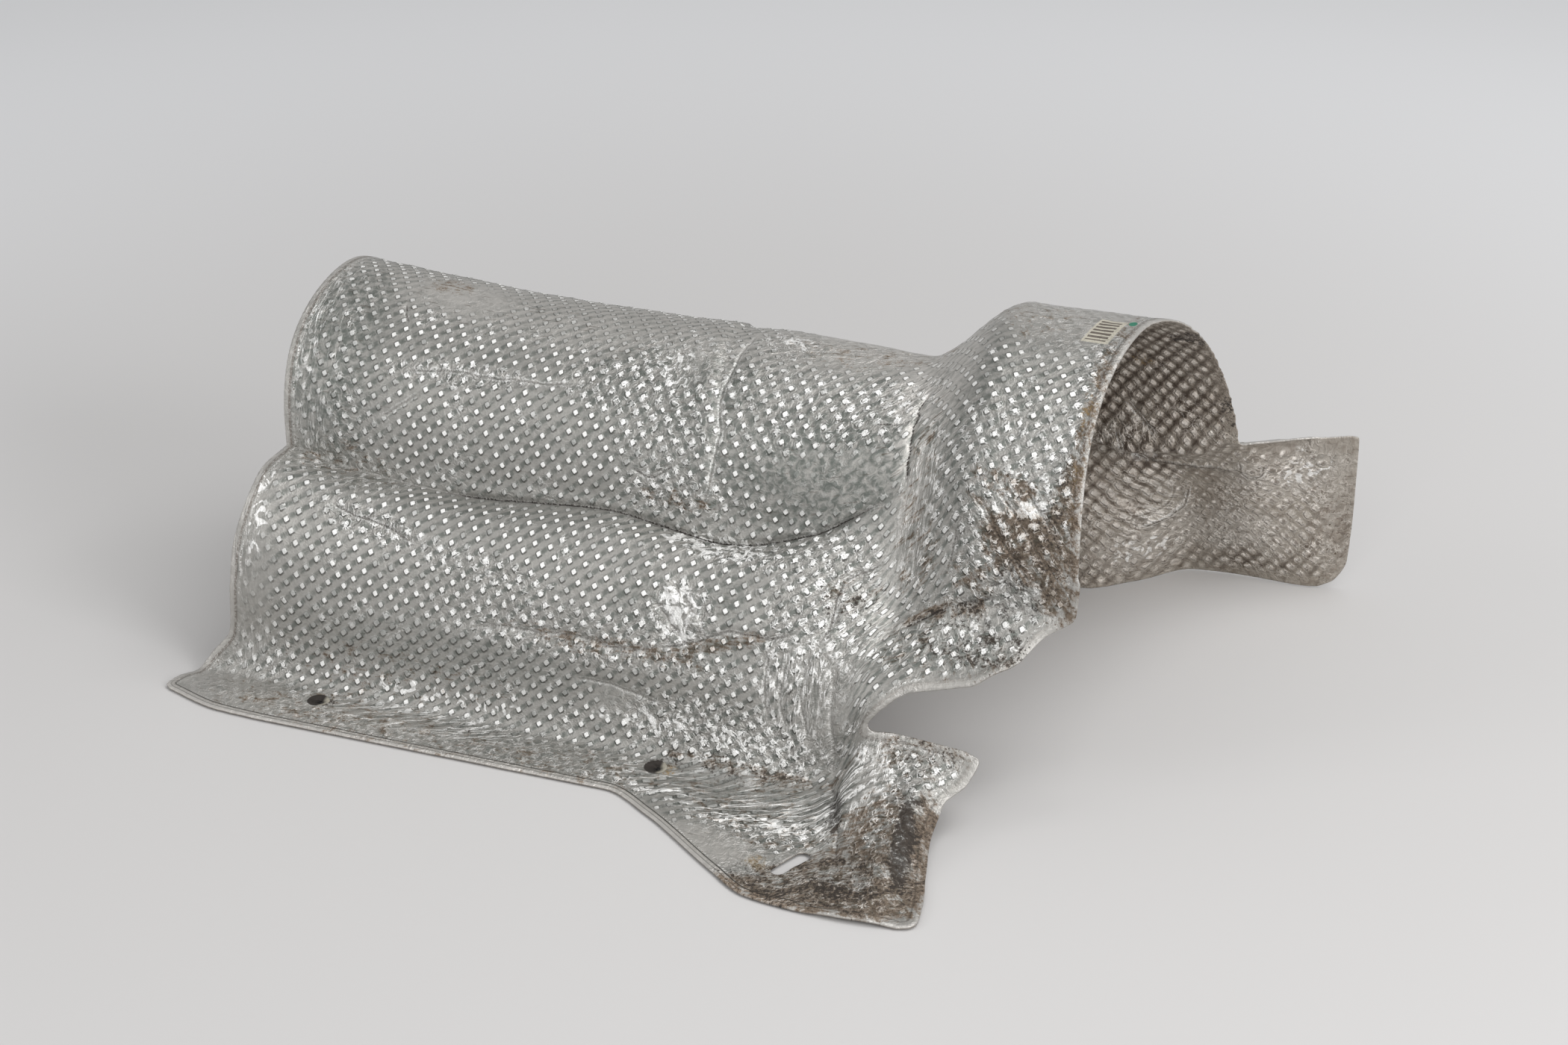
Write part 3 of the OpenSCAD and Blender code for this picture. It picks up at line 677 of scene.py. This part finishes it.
def fieldsOf(s, isInner):    # what every point of one side carries
    blank = s["blank"]
    n = len(blank)
    rise = np.full(n, sheet["innerTop"]) if isInner else hemHeight(s["rimGap"])
    lift = 1 - patchField("flat", blank)
    for name, reach in fullLift.items():
        lift = lift * ease(*reach, s[name])
    fields = {name: s[name] for name in ("rimGap", "boreGap", "creaseGap", "crease")}
    fields.update(place=s["place"] + s["out"] * (rise - pressIn(s))[:, None], outward=s["out"],
                  blank=np.c_[blank, np.zeros(n)], lift=lift, inside=np.full(n, float(isInner)))
    fields.update({name: patchField(name, blank) for name in scalars})
    fields.update({name: np.stack([patchField(k, blank) for k in kinds], -1) for name, kinds in triples.items()})
    return fields


def joinSides(outer, inner):
    fields = fieldsOf(outer, False)
    fields = {name: np.concatenate([value, other]) for (name, value), other
              in zip(fields.items(), fieldsOf(inner, True).values())}
    shift = len(outer["blank"])
    place, out = fields["place"], fields["outward"]

    def turned(f):    # faces wound so that they look outward
        n = np.cross(place[f[:, 1]] - place[f[:, 0]], place[f[:, 2]] - place[f[:, 0]])
        return np.where((n * out[f[:, 0]]).sum(1, keepdims=True) < 0, f[:, ::-1], f)

    fo = turned(outer["faces"])
    fi = turned(inner["faces"] + shift)[:, ::-1]
    faces = [tuple(f) for f in fo.tolist() + fi.tolist()]
    directed = {(f[k], f[(k + 1) % 3]) for f in fo.tolist() for k in range(3)}
    for lo, li in zip(outer["loops"], inner["loops"]):    # the wall round the rim and through each hole
        n = len(lo)
        for k in range(n):
            a, b = lo[k], lo[(k + 1) % n]
            c, d = li[k] + shift, li[(k + 1) % n] + shift
            faces.append((b, a, c, d) if (a, b) in directed else (a, b, d, c))
    return fields, faces


def makeSheet():
    fields, faces = joinSides(*sides)
    mesh = bpy.data.meshes.new("pressedSheet")
    mesh.from_pydata((fields.pop("place") * mm).tolist(), [], faces)
    for name, data in fields.items():
        kind, key = ("FLOAT", "value") if data.ndim == 1 else ("FLOAT_VECTOR", "vector")
        a = mesh.attributes.new(name, kind, "POINT")
        a.data.foreach_set(key, data.astype(np.float32).ravel())
    mesh.polygons.foreach_set("use_smooth", [True] * len(mesh.polygons))
    mesh.validate()
    obj = bpy.data.objects.new("pressedSheet", mesh)
    bpy.context.collection.objects.link(obj)
    return obj


blankPiece = makeSheet()
print("sheet:", len(blankPiece.data.vertices), "points,", len(blankPiece.data.polygons), "faces")


# node maths

class Wire:    # a socket in a node tree, with maths on it
    def __init__(self, tree, socket):
        self.tree, self.socket = tree, socket

    def add(self, kind, settings=None, inputs=None, out=0):    # any node: settings first, then its sockets
        node = self.tree.nodes.new(kind)
        for key, value in (settings or {}).items():
            setattr(node, key, value)
        for key, value in (inputs or {}).items():
            if isinstance(value, Wire):
                self.tree.links.new(value.socket, node.inputs[key])
            else:
                node.inputs[key].default_value = value
        return Wire(self.tree, node.outputs[out]) if node.outputs else node

    def math(self, operation, *values):
        return self.add("ShaderNodeMath", {"operation": operation}, dict(enumerate(values)))

    def __add__(self, other):
        return self.math("ADD", self, other)

    def __radd__(self, other):
        return self.math("ADD", other, self)

    def __sub__(self, other):
        return self.math("SUBTRACT", self, other)

    def __rsub__(self, other):
        return self.math("SUBTRACT", other, self)

    def __mul__(self, other):
        return self.math("MULTIPLY", self, other)

    def __rmul__(self, other):
        return self.math("MULTIPLY", other, self)

    def __truediv__(self, other):
        return self.math("DIVIDE", self, other)

    def __pow__(self, other):
        return self.math("POWER", self, other)

    def __abs__(self):
        return self.math("ABSOLUTE", self)

    def clip(self):
        return self.add("ShaderNodeClamp", None, {0: self})

    def span(self, low, high):    # 0 below low, 1 above high
        return self.add("ShaderNodeMapRange", {"interpolation_type": "SMOOTHSTEP"},
                        {0: self, 1: low, 2: high, 3: 0.0, 4: 1.0})

    def band(self, low, full, fade, end):    # 1 between full and fade
        return self.span(low, full) * (1 - self.span(fade, end))

    def vector(self, operation, *values):
        out = 1 if operation == "LENGTH" else 0
        return self.add("ShaderNodeVectorMath", {"operation": operation}, dict(enumerate(values)), out)

    def part(self, index):
        return self.add("ShaderNodeSeparateXYZ", None, {0: self}, index)

    def scaled(self, vector, amount):
        return self.add("ShaderNodeVectorMath", {"operation": "SCALE"}, {0: vector, "Scale": amount})

    def mix(self, t, a, b):    # colours, as wires or as (red, green, blue)
        a, b = (c if isinstance(c, Wire) else (*c, 1) for c in (a, b))
        return self.add("ShaderNodeMix", {"data_type": "RGBA"}, {0: t, 6: a, 7: b}, 2)

    def noise(self, scale, detail=3.0, rough=0.55, bend=0.0, out=0):    # at the place that this wire gives
        return self.add("ShaderNodeTexNoise", None, {"Vector": self, "Scale": scale, "Detail": detail,
                                                     "Roughness": rough, "Distortion": bend}, out)

    def stretched(self, turn, along, across):    # the place drawn out along a direction
        return self.add("ShaderNodeMapping", {"vector_type": "TEXTURE"}, {
            0: self, "Rotation": (0.0, 0.0, math.radians(turn)), "Scale": (1 / along, 1 / across, 1.0)})


def blend(t, a, b):
    return a + (b - a) * t


# the embossing's cells: mm between dimples along each row

stepA, stepB = (round(math.hypot(*sheet[name]), 2) for name in ("rowA", "rowB"))
runTogether = 0.6    # how far dimples merge along their rows where the sheet ripples


def cellOf(blank):    # from the blank to the nearest dimple: its two numbers and the way from it, in steps
    (ax, ay), (bx, by) = sheet["rowA"], sheet["rowB"]
    det = ax * by - ay * bx
    x, y = blank.part(0), blank.part(1)
    u = (x * by - y * bx) / det
    v = (y * ax - x * ay) / det
    cu, cv = u.math("ROUND", u), v.math("ROUND", v)
    return cu, cv, u - cu, v - cv


def squareGap(du, dv):    # mm from the dimple's middle, in rounded squares
    return ((abs(du) * stepA) ** 5.0 + (abs(dv) * stepB) ** 5.0) ** 0.2


def roundGap(du, dv):
    return du.math("SQRT", du * du * stepA ** 2 + dv * dv * stepB ** 2)


# embossing: a dimple on every crossing of the rows, on both faces

emboss = {"Height mm": 0.5, "Tip mm": 0.2, "Foot mm": 1.7, "Unevenness": 0.35, "Seed": 4, "Crumple mm": 1.3}
crush = {    # scale, detail, roughness and distortion of each noise, its middle, its share; mm from the rim
    "folds": (0.11, 2.5, 0.6, 0.8), "foldsMiddle": 0.56, "foldsPlain": 0.3, "foldsCrumpled": 1.5,
    "swell": (0.032, 1.0, 0.5), "swellMiddle": 0.58, "swellShare": 1.2, "fromRim": (3.5, 14.0),
}


def embossTree(material):
    tree = bpy.data.node_groups.new("emboss", "GeometryNodeTree")
    face = tree.interface
    face.new_socket("Sheet", in_out="INPUT", socket_type="NodeSocketGeometry")
    for name, value in emboss.items():
        kind = "NodeSocketInt" if isinstance(value, int) else "NodeSocketFloat"
        face.new_socket(name, in_out="INPUT", socket_type=kind)
    face.new_socket("Sheet", in_out="OUTPUT", socket_type="NodeSocketGeometry")
    start = tree.nodes.new("NodeGroupInput")
    w = Wire(tree, start.outputs[0])
    height, tip, foot, unevenness, seed, crumpleMm = (Wire(tree, start.outputs[i]) for i in range(1, 7))
    read = lambda name, kind: w.add("GeometryNodeInputNamedAttribute", {"data_type": kind}, {"Name": name})
    blank, out, wear = (read(name, "FLOAT_VECTOR") for name in ("blank", "outward", "wear"))
    lift, crumple, rimGap = (read(name, "FLOAT") for name in ("lift", "crumple", "rimGap"))
    cu, cv, du, dv = cellOf(blank)
    du = du * (1 - wear.part(1) * runTogether)
    a, b = (w.scaled((*sheet[row], 0.0), part) for row, part in (("rowA", du), ("rowB", dv)))
    gap = w.vector("LENGTH", w.vector("ADD", a, b))
    name = w.add("FunctionNodeFloatToInt", {"rounding_mode": "ROUND"}, {0: cu * 997 + cv})
    chance = w.add("FunctionNodeRandomValue", {"data_type": "FLOAT"}, {"ID": name, "Seed": seed}, 1)
    rise = (1 - gap.span(tip, foot)) * (1 - unevenness * chance) * lift * height
    folds = blank.noise(*crush["folds"]) - crush["foldsMiddle"]
    folds = folds * (crush["foldsPlain"] + crumple * crush["foldsCrumpled"])
    swell = (blank.noise(*crush["swell"]) - crush["swellMiddle"]) * crush["swellShare"]
    rise = rise + (folds + swell) * crumpleMm * rimGap.span(*crush["fromRim"])
    pressed = w.add("GeometryNodeSetPosition", None, {"Geometry": w, "Offset": w.scaled(out, rise * mm)})
    real = w.add("GeometryNodeRealizeInstances", None, {0: pressed})
    done = w.add("GeometryNodeSetMaterial", None, {"Geometry": real, "Material": material})
    end = tree.nodes.new("NodeGroupOutput")
    tree.links.new(done.socket, end.inputs[0])
    return tree


def applyEmboss(obj, material):
    tree = embossTree(material)
    mod = obj.modifiers.new("emboss", "NODES")
    mod.node_group = tree
    ids = {s.name: s.identifier for s in tree.interface.items_tree if s.in_out == "INPUT"}
    for name, value in emboss.items():
        mod[ids[name]] = value
    obj.data.materials.append(material)
    graph = bpy.context.evaluated_depsgraph_get()
    mesh = bpy.data.meshes.new_from_object(obj.evaluated_get(graph))
    obj.modifiers.remove(mod)
    made = bpy.data.objects.new("shieldSheet", mesh)
    bpy.context.collection.objects.link(made)
    bpy.data.objects.remove(obj)
    return made


# finish

metal = {
    # the white here serves for painted highlights and the near-black after it for painted shadow; the cool, inner
    # dark and soot colours also lay painted shade, and the pale colour also painted light
    "grey": (0.428, 0.416, 0.392), "pale": (0.68, 0.655, 0.62), "cool": (0.165, 0.178, 0.162),
    "tip": (1.0, 0.995, 0.975), "shadowPaint": (0.07, 0.07, 0.062),
    "inside": (0.40, 0.358, 0.306), "insideDark": (0.078, 0.056, 0.04), "insideTip": (0.98, 0.92, 0.85),
    "brown": (0.080, 0.053, 0.033), "soot": (0.024, 0.018, 0.014), "ochre": (0.30, 0.20, 0.08),
    "glaze": (0.46, 0.37, 0.295),    # what a thin stain leaves of the colour under it
    "label": (0.50, 0.47, 0.39), "bars": (0.10, 0.08, 0.062), "dot": (0.03, 0.19, 0.12),
    "tipMm": 0.98, "flankMm": 1.6, "metallic": 0.62, "roughFlat": 0.42, "roughTip": 0.2, "roughDirt": 0.75,
}
noises = {    # scale, detail, roughness, distortion
    "fine": (1.3, 3.0, 0.6), "grain": (4.5, 2.0, 0.6), "cloud": (0.045, 5.0, 0.62), "speck": (0.75, 4.0, 0.7),
    "even": (0.32, 3.5, 0.56, 0.7), "blot": (0.16, 6.0, 0.68, 0.6), "plate": (0.19, 1.5, 0.5, 1.4),
    "patchy": (0.07, 3.0, 0.55),
}
drift = {"noise": (0.11, 2.0, 0.5, 0.0), "plain": 0.6, "crumpled": 5.0, "inside": 2.0}    # mm that rows wander
smears = {    # turn in degrees, scale along and across it, then as in noises
    "brush": (-4, 0.11, 0.75, 3.0, 0.6, 0.2), "long": (0, 0.42, 0.08, 3.0, 0.55, 0.6),
    "waves": (-24, 0.04, 0.30, 2.5, 0.5, 0.5), "sweep": (49, 0.07, 0.42, 4.0, 0.6, 0.4),
}
marks = {    # mm from the rim where a mark starts, is full, fades and ends
    "hem": (3.9, 4.2, 4.6, 5.0), "hemShadow": (3.0, 3.3, 3.6, 3.9), "fold": (1.3, 1.6, 1.8, 2.1),
    "crimp": (1.9, 2.4, 3.0, 3.7), "strip": (2.9, 3.3), "insideBand": (0.8, 1.6, 5.8, 7.0),
    # mm on the blank, along X and across
    "footX": (60.0, 100.0), "footQ": (95.0, 115.0), "frontQ": (205.0, 222.0), "tabX": (160.0, 180.0),
    "archX": (95.0, 110.0), "lipsX": ((-163.0, -161.0, -155.0, -150.0), (-7.0, -5.0, 0.0, 3.0)),
}
sticker = {    # mm on the blank, as in marks
    "slant": 0.14, "patchX": (136.4, 136.9, 147.6, 148.1), "patchQ": (-5.6, -5.0, 17.4, 18.0),
    "barsX": (137.4, 137.8, 145.9, 146.3), "barsQ": (-4.0, -3.6, 15.6, 16.0), "barPitch": 2.1,
    "dotAt": (150.6, -4.2), "dotFlat": 0.55, "dotR": (1.4, 1.9),
}


def stickerOf(x, y):    # a plain striped sticker and a paint dot on the arch
    slant = x + y * sticker["slant"]
    patch = slant.band(*sticker["patchX"]) * y.band(*sticker["patchQ"])
    block = slant.band(*sticker["barsX"]) * y.band(*sticker["barsQ"])
    bars = x.math("SINE", y * sticker["barPitch"]).span(-0.5, 0.1) * block
    dx, dy = sticker["dotAt"]
    spot = x.vector("LENGTH", x.add("ShaderNodeCombineXYZ", None, {0: x - dx, 1: (y - dy) * sticker["dotFlat"]}))
    return patch, bars, 1 - spot.span(*sticker["dotR"])


def embossedAluminium():
    mat = bpy.data.materials.new("embossedAluminium")
    mat.use_nodes = True
    tree = mat.node_tree
    tree.nodes.clear()
    w = Wire(tree, None)
    read = lambda name, out: w.add("ShaderNodeAttribute", {"attribute_name": name}, None, out)
    blank, wear, dirt, crease = (read(name, 1) for name in ("blank", "wear", "dirt", "crease"))
    inside, lift, crumple, pale, glare, dull, rimGap, creaseGap, boreGap = (read(name, 2) for name in (
        "inside", "lift", "crumple", "pale", "glare", "dull", "rimGap", "creaseGap", "boreGap"))
    streak, ripple, cool = (wear.part(i) for i in range(3))
    brown, soot, ochre = (dirt.part(i) for i in range(3))
    creaseDeep, creaseDark, creaseLit = (crease.part(i) for i in range(3))
    x, y = blank.part(0), blank.part(1)
    outer = 1 - inside
    fine, grain, cloud, speck, even, blot, plate, patchy = (blank.noise(*row) for row in noises.values())
    brush, long, waves, sweep = (blank.stretched(*row[:3]).noise(1.0, *row[3:]) for row in smears.values())
    folds = blend(ripple, blend(streak, even, long), waves)
    line = 1 - (abs(folds - 0.5) * 13.0).clip()    # thin wandering ridges
    crushed = (crumple * 0.95 + 0.08 + patchy.span(0.5, 0.72) * 0.4).clip()

    def lay(amount, over):    # the next coat: a colour's name, or a wire
        nonlocal colour
        colour = w.mix(amount, colour, metal[over] if isinstance(over, str) else over)

    # the rows wander where the sheet is crumpled
    sway = w.vector("SUBTRACT", blank.noise(*drift["noise"], 1), (0.5, 0.5, 0.5))
    sway = w.scaled(sway, drift["plain"] + crumple * drift["crumpled"] + inside * drift["inside"])
    cu, cv, du, dv = cellOf(w.vector("ADD", blank, sway))
    du = du * (1 - ripple * runTogether)
    gap = squareGap(du, dv)
    cell = w.add("ShaderNodeCombineXYZ", None, {0: cu, 1: cv})
    chance = w.add("ShaderNodeTexWhiteNoise", {"noise_dimensions": "3D"}, {0: cell}, 0)

    # dimples: painted highlights on bright square tips, standing in rows of painted shade, each with a thin painted
    # shadow below
    # painted highlight: the bright square on each dimple's tip
    bright = 1 - gap.span(metal["tipMm"] - 0.14, metal["tipMm"] + 0.1)
    broken = (fine.span(0.36, 0.5) + (0.85 - crushed * 0.75)).clip()
    tip = bright * lift * broken * (0.3 + chance.span(0.1, 0.45) * 0.7) * (1 - dull * (0.5 + chance * 0.5))
    # painted shadow: a dark foot just below each tip
    foot = (1 - squareGap(du, dv - 0.09).span(metal["tipMm"], metal["flankMm"])) * (1 - bright)
    # painted shade: darker rows between the dimples
    ranks = (1 - abs(dv).span(0.12, 0.33)) * outer
    row = ranks * (0.45 + 0.55 * even.span(0.35, 0.6)) * (lift + (1 - lift) * ripple * 0.7)
    # painted highlights: glints on crumpled ridges near the dimples, and bright facets in the glare patches
    near = (1 - gap.span(1.3, 2.5)) * (0.3 + lift * 0.7)
    paintedGlint = line.span(0.45, 0.8) * crushed * (near + streak * 0.25 + ripple * 0.2).clip() * (0.35 + 0.65 * outer)
    facets = (glare * 0.75 + (plate - 0.5) * 5.0 + (even - 0.5) * 2.0 - 0.55) * 5.0 * glare.span(0.0, 0.25)
    paintedGlint = (paintedGlint * 1.5 + facets.clip() * (1.0 - line * 0.45)).clip()

    colour = w.mix(inside, metal["grey"], metal["inside"])
    # pale patches: paler metal, plus painted light that brightens the crown and the arch's shoulder
    lay(pale * (0.9 - inside * 0.55), "pale")
    lay((cool * 1.05 + 0.1) * even.span(0.28, 0.74) * outer, "cool")
    # painted shade along the rows
    lay(row * (0.85 - pale * 0.6), "cool")
    # painted shade in the crumpled folds
    lay(crushed * folds.span(0.53, 0.60) * (0.5 - inside * 0.2), "cool")
    # painted shadow below the tips
    lay(foot * 0.72 * lift * outer, "shadowPaint")
    lay(brush.span(0.60, 0.68) * (0.12 + pale * 0.5 + cool * 0.3), "brown")
    # painted highlight on each dimple's tip
    lay(tip * outer, "tip")
    # painted glints
    lay(paintedGlint * 0.95, "tip")

    # from within, dimples are hollows: painted highlights on lighter pillows with painted shade between them where
    # the sheet is dark, brown dots where it is pale
    ring = roundGap(du, dv)
    band = lift + (1 - lift) * rimGap.band(*marks["insideBand"]) * (1 - x.span(*marks["tabX"]))
    deep = (0.34 + brown * 0.66) * (0.95 + (cloud - 0.5) * 2.2 + (even - 0.5) * 1.6)
    deep = (inside * (1 - pale * 0.7) * deep).clip()
    lay(deep * 0.2, "insideDark")
    # painted shade between the pillows
    lay(deep * ring.span(1.6, 3.3) * (0.2 + band * 0.8), "insideDark")
    # painted highlights on the pillows
    lay(deep * (1 - ring.span(0.4, 2.3)) * band * (0.6 + chance * 0.6), "insideTip")
    smear = inside * (cloud * 0.6 + even * 0.4).span(0.47, 0.62)
    lay(smear * 0.35, w.vector("MULTIPLY", colour, metal["glaze"]))
    # painted shade along ripples and crumples
    combs = inside * (ripple * waves.span(0.46, 0.64) * 0.5 + crushed * even.span(0.50, 0.66) * 0.35)
    lay(combs * 0.7, "insideDark")
    # painted glints beside each hollow
    aside = roundGap(du + 0.16, dv + 0.12)
    glint = inside * (1 - brown * 0.7) * (1 - aside.span(0.3, 1.3)) * lift * chance.span(0.15, 0.5)
    lay(glint * (0.6 + cloud.span(0.45, 0.6) * 0.6) * 1.6, "insideTip")
    # painted highlights on crumpled ridges
    lay(inside * crushed * line.span(0.5, 0.9) * patchy.span(0.44, 0.56) * 0.7, "insideTip")
    # brown dots in the hollows: dirt at their bottoms, partly painted shade
    dots = inside * (1 - ring.span(0.5, 1.5)) * lift * (1 - brown * 0.8)
    lay(dots * speck.span(0.34, 0.46) * chance.span(0.25, 0.6) * 0.7, "brown")

    # creases and the hem: painted shade and painted highlights along the creases, a painted highlight on the hem,
    # painted shadow in the groove beside it
    front = y.span(*marks["frontQ"])
    thread = creaseGap + (fine - 0.5) * 1.8
    # painted shade along each crease
    creaseShade = creaseDark * (1 - thread.span(0.1, 0.55)) * (0.15 + speck.span(0.36, 0.56))
    # painted highlight beside each crease
    lit = creaseLit * thread.band(0.3, 0.8, 0.9, 1.5) * speck.span(0.42, 0.56)
    # painted highlight along the hem
    hem = rimGap.band(*marks["hem"]) * patchy.span(0.42, 0.56)
    bare = 1 - x.span(*marks["footX"]) * y.span(*marks["footQ"]) * 0.6    # hardly any painted hem shadow, pale strip or crimp around the foot
    # painted shadow in the groove beside the hem, strongest along the front edge
    hemShadow = (rimGap.band(*marks["hemShadow"]) + rimGap.band(*marks["fold"]) * 0.6) * bare * outer
    hemShadow = hemShadow * (0.12 + front * 0.85 + patchy.span(0.48, 0.6) * 0.2)
    strip = (1 - rimGap.span(*marks["strip"])) * bare
    crimp = rimGap.band(*marks["crimp"]) * (0.4 + speck.span(0.42, 0.55) * 0.8) * (1 - front * 0.7) * bare
    # painted highlights on the creases and along the hem
    lay(lit * (outer + inside * 0.5) + hem * fine.span(0.48, 0.6) * 0.8 * outer, "tip")
    lay(strip * outer * (0.4 + front * 0.4 + patchy.span(0.45, 0.6) * 0.2), "pale")
    # painted hem shadow
    lay(hemShadow * (0.6 + speck * 0.6), "shadowPaint")

    # stains, thicker dirt, rust, soot; painted shade in the creases and the holes
    grainy = blend(x.span(*marks["archX"]), brush, sweep) - 0.5
    clot, fleck = blot - 0.5, speck - 0.5
    spread = (brown * 1.1 + clot * 3.2 + fleck * 1.6 + grainy * 1.8 - 0.46) * 2.0
    stain = spread.clip() * brown.span(0.0, 0.2) * (1 - inside * 0.7)
    lay(stain * (1.0 - tip * 0.35 - paintedGlint * 0.5), w.vector("MULTIPLY", colour, metal["glaze"]))
    thick = stain * ((brown - 0.45) * 0.85 + clot * 2.8 + fleck * 3.2 + grainy * 1.2).span(0.35, 0.95)
    thick = thick * (0.9 - tip * 0.7 - paintedGlint * 0.5)
    lay(thick, w.mix(fine.span(0.42, 0.58), metal["brown"], metal["soot"]))
    rust = ((ochre * 0.8 + clot * 2.6 + fleck * 2.6 - 0.5) * 2.2).clip() * ochre.span(0.0, 0.3)
    lay(rust * 0.75, "ochre")
    dust = speck.span(0.60, 0.66) * (0.25 + hem + brown * 1.5 + inside * 0.5 - strip * 0.15)
    dust = dust + speck.span(0.54, 0.62) * hem * 0.9
    lay(dust * 0.8 + crimp * (0.5 - inside * 0.4), "brown")
    # painted shade in the creases, in the soot colour
    lay(creaseShade * 0.9, "soot")
    grime = ((soot * 0.8 + clot * 2.6 + fleck * 3.0 - 0.5) * 3.0).clip() * soot.span(0.0, 0.2) * 0.85
    # painted shade: the near-black wall that closes each hole
    bore = 1 - boreGap.span(0.1, 0.7)
    # soot, with painted shade from the holes and the darkest creases
    sootAndShade = (bore + grime + creaseShade * creaseDark.span(0.6, 1.0) * 0.9).clip()
    lay(sootAndShade, "soot")
    lay(bore * (x.band(*marks["lipsX"][0]) + x.band(*marks["lipsX"][1])) * 0.75, "label")

    patch, bars, dot = stickerOf(x, y)
    label, dot = patch * outer * (0.75 + speck.span(0.3, 0.5) * 0.2), dot * outer
    lay(label, w.mix(bars, metal["label"], metal["bars"]))
    lay(dot, "dot")

    # dirt, print and painted shade all make the surface matte
    dirtAndShade = (stain * 0.35 + thick + sootAndShade + dust + label + dot + rust * 0.6).clip()
    rough = blend((tip + paintedGlint).clip(), metal["roughFlat"] - crushed * 0.12, metal["roughTip"])
    rough = blend(dirtAndShade, rough, metal["roughDirt"])
    metallic = metal["metallic"] - dirtAndShade * 0.6 - tip * 0.45 - paintedGlint * 0.3 - inside * 0.25
    height = ((1 - gap.span(metal["tipMm"] - 0.1, metal["flankMm"])) * lift * (0.26 + inside * 0.3)
              + ranks * ripple * (1 - lift) * -0.4
              + (folds - 0.5) * (0.3 + crushed * 1.9 + inside * 0.8) + line * crushed * 0.15
              - (1 - creaseGap.span(0.0, 1.3)) * creaseDeep * 0.35
              + (fine - 0.5) * (0.12 + crushed * 0.3) + (grain - 0.5) * 0.03)
    bump = w.add("ShaderNodeBump", None, {"Strength": 1.0, "Distance": mm, "Height": height})
    shader = w.add("ShaderNodeBsdfPrincipled", None, {
        "Base Color": colour, "Metallic": metallic.clip(), "Roughness": rough.clip(), "Normal": bump})
    w.add("ShaderNodeOutputMaterial", None, {0: shader})
    return mat


shield = applyEmboss(blankPiece, embossedAluminium())
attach(shield, "root")
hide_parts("shield")
print("embossed:", len(shield.data.polygons), "faces")


# floor, lamps and camera

studio = {
    "floor": (0.63, 0.62, 0.615), "far": (0.845, 0.85, 0.865), "floorSize": 8, "floorDrop": 0.0002,
    "fade": (0.3, 1.05), "floorRough": 0.7, "world": 0.39,
    # name, place, aimed at, size, watts
    "lamps": (("ceiling", (0.7, 0.05, 1.8), (0.0, 0.0, 0.0), 1.3, 16.5),
              ("window", (1.7, -0.75, 0.95), (0.0, 0.0, 0.1), 0.8, 14.6),
              ("front", (0.3, -1.9, 1.2), (0.0, 0.0, 0.1), 0.9, 8.5),
              ("fill", (-1.6, -1.2, 1.2), (0.0, 0.0, 0.1), 0.8, 5.5)),
    "azimuth": 20, "elevation": 27, "distance": 1.167, "target": (0.014, 0.0033, 0.0735), "lens": 63, "sensor": 36,
}


def lookAt(obj, target):
    obj.rotation_euler = (Vector(target) - obj.location).to_track_quat("-Z", "Y").to_euler()


def makeStudio():
    bpy.ops.mesh.primitive_plane_add(size=studio["floorSize"], location=(0, 0, -studio["floorDrop"]))
    floor = bpy.context.object
    floor.name = "floor"
    mat = bpy.data.materials.new("paleFloor")
    mat.use_nodes = True
    bsdf = mat.node_tree.nodes["Principled BSDF"]
    w = Wire(mat.node_tree, None)
    place = w.add("ShaderNodeTexCoord", None, None, 3)    # Object coordinates
    paler = w.mix(w.vector("LENGTH", place).span(*studio["fade"]), studio["floor"], studio["far"])
    mat.node_tree.links.new(paler.socket, bsdf.inputs["Base Color"])
    bsdf.inputs["Roughness"].default_value = studio["floorRough"]
    floor.data.materials.append(mat)
    world = bpy.data.worlds.new("studio")
    world.use_nodes = True
    back = world.node_tree.nodes["Background"]
    back.inputs[0].default_value = (1, 1, 1, 1)
    back.inputs[1].default_value = studio["world"]
    bpy.context.scene.world = world
    for name, place, target, size, power in studio["lamps"]:
        lamp = bpy.data.lights.new(name, "AREA")
        lamp.size = size
        lamp.energy = power
        obj = bpy.data.objects.new(name, lamp)
        obj.location = place
        lookAt(obj, target)
        bpy.context.collection.objects.link(obj)


def makeCamera():
    az, el, d = math.radians(studio["azimuth"]), math.radians(studio["elevation"]), studio["distance"]
    data = bpy.data.cameras.new("camera")
    data.sensor_width = studio["sensor"]
    data.sensor_fit = "HORIZONTAL"
    data.lens = studio["lens"]
    cam = bpy.data.objects.new("camera", data)
    flat = math.cos(el)
    cam.location = Vector(studio["target"]) + d * Vector((math.sin(az) * flat, -math.cos(az) * flat, math.sin(el)))
    lookAt(cam, studio["target"])
    bpy.context.collection.objects.link(cam)
    bpy.context.scene.camera = cam


makeStudio()
makeCamera()
bpy.context.scene.view_settings.view_transform = "Standard"
print("studio and camera set")
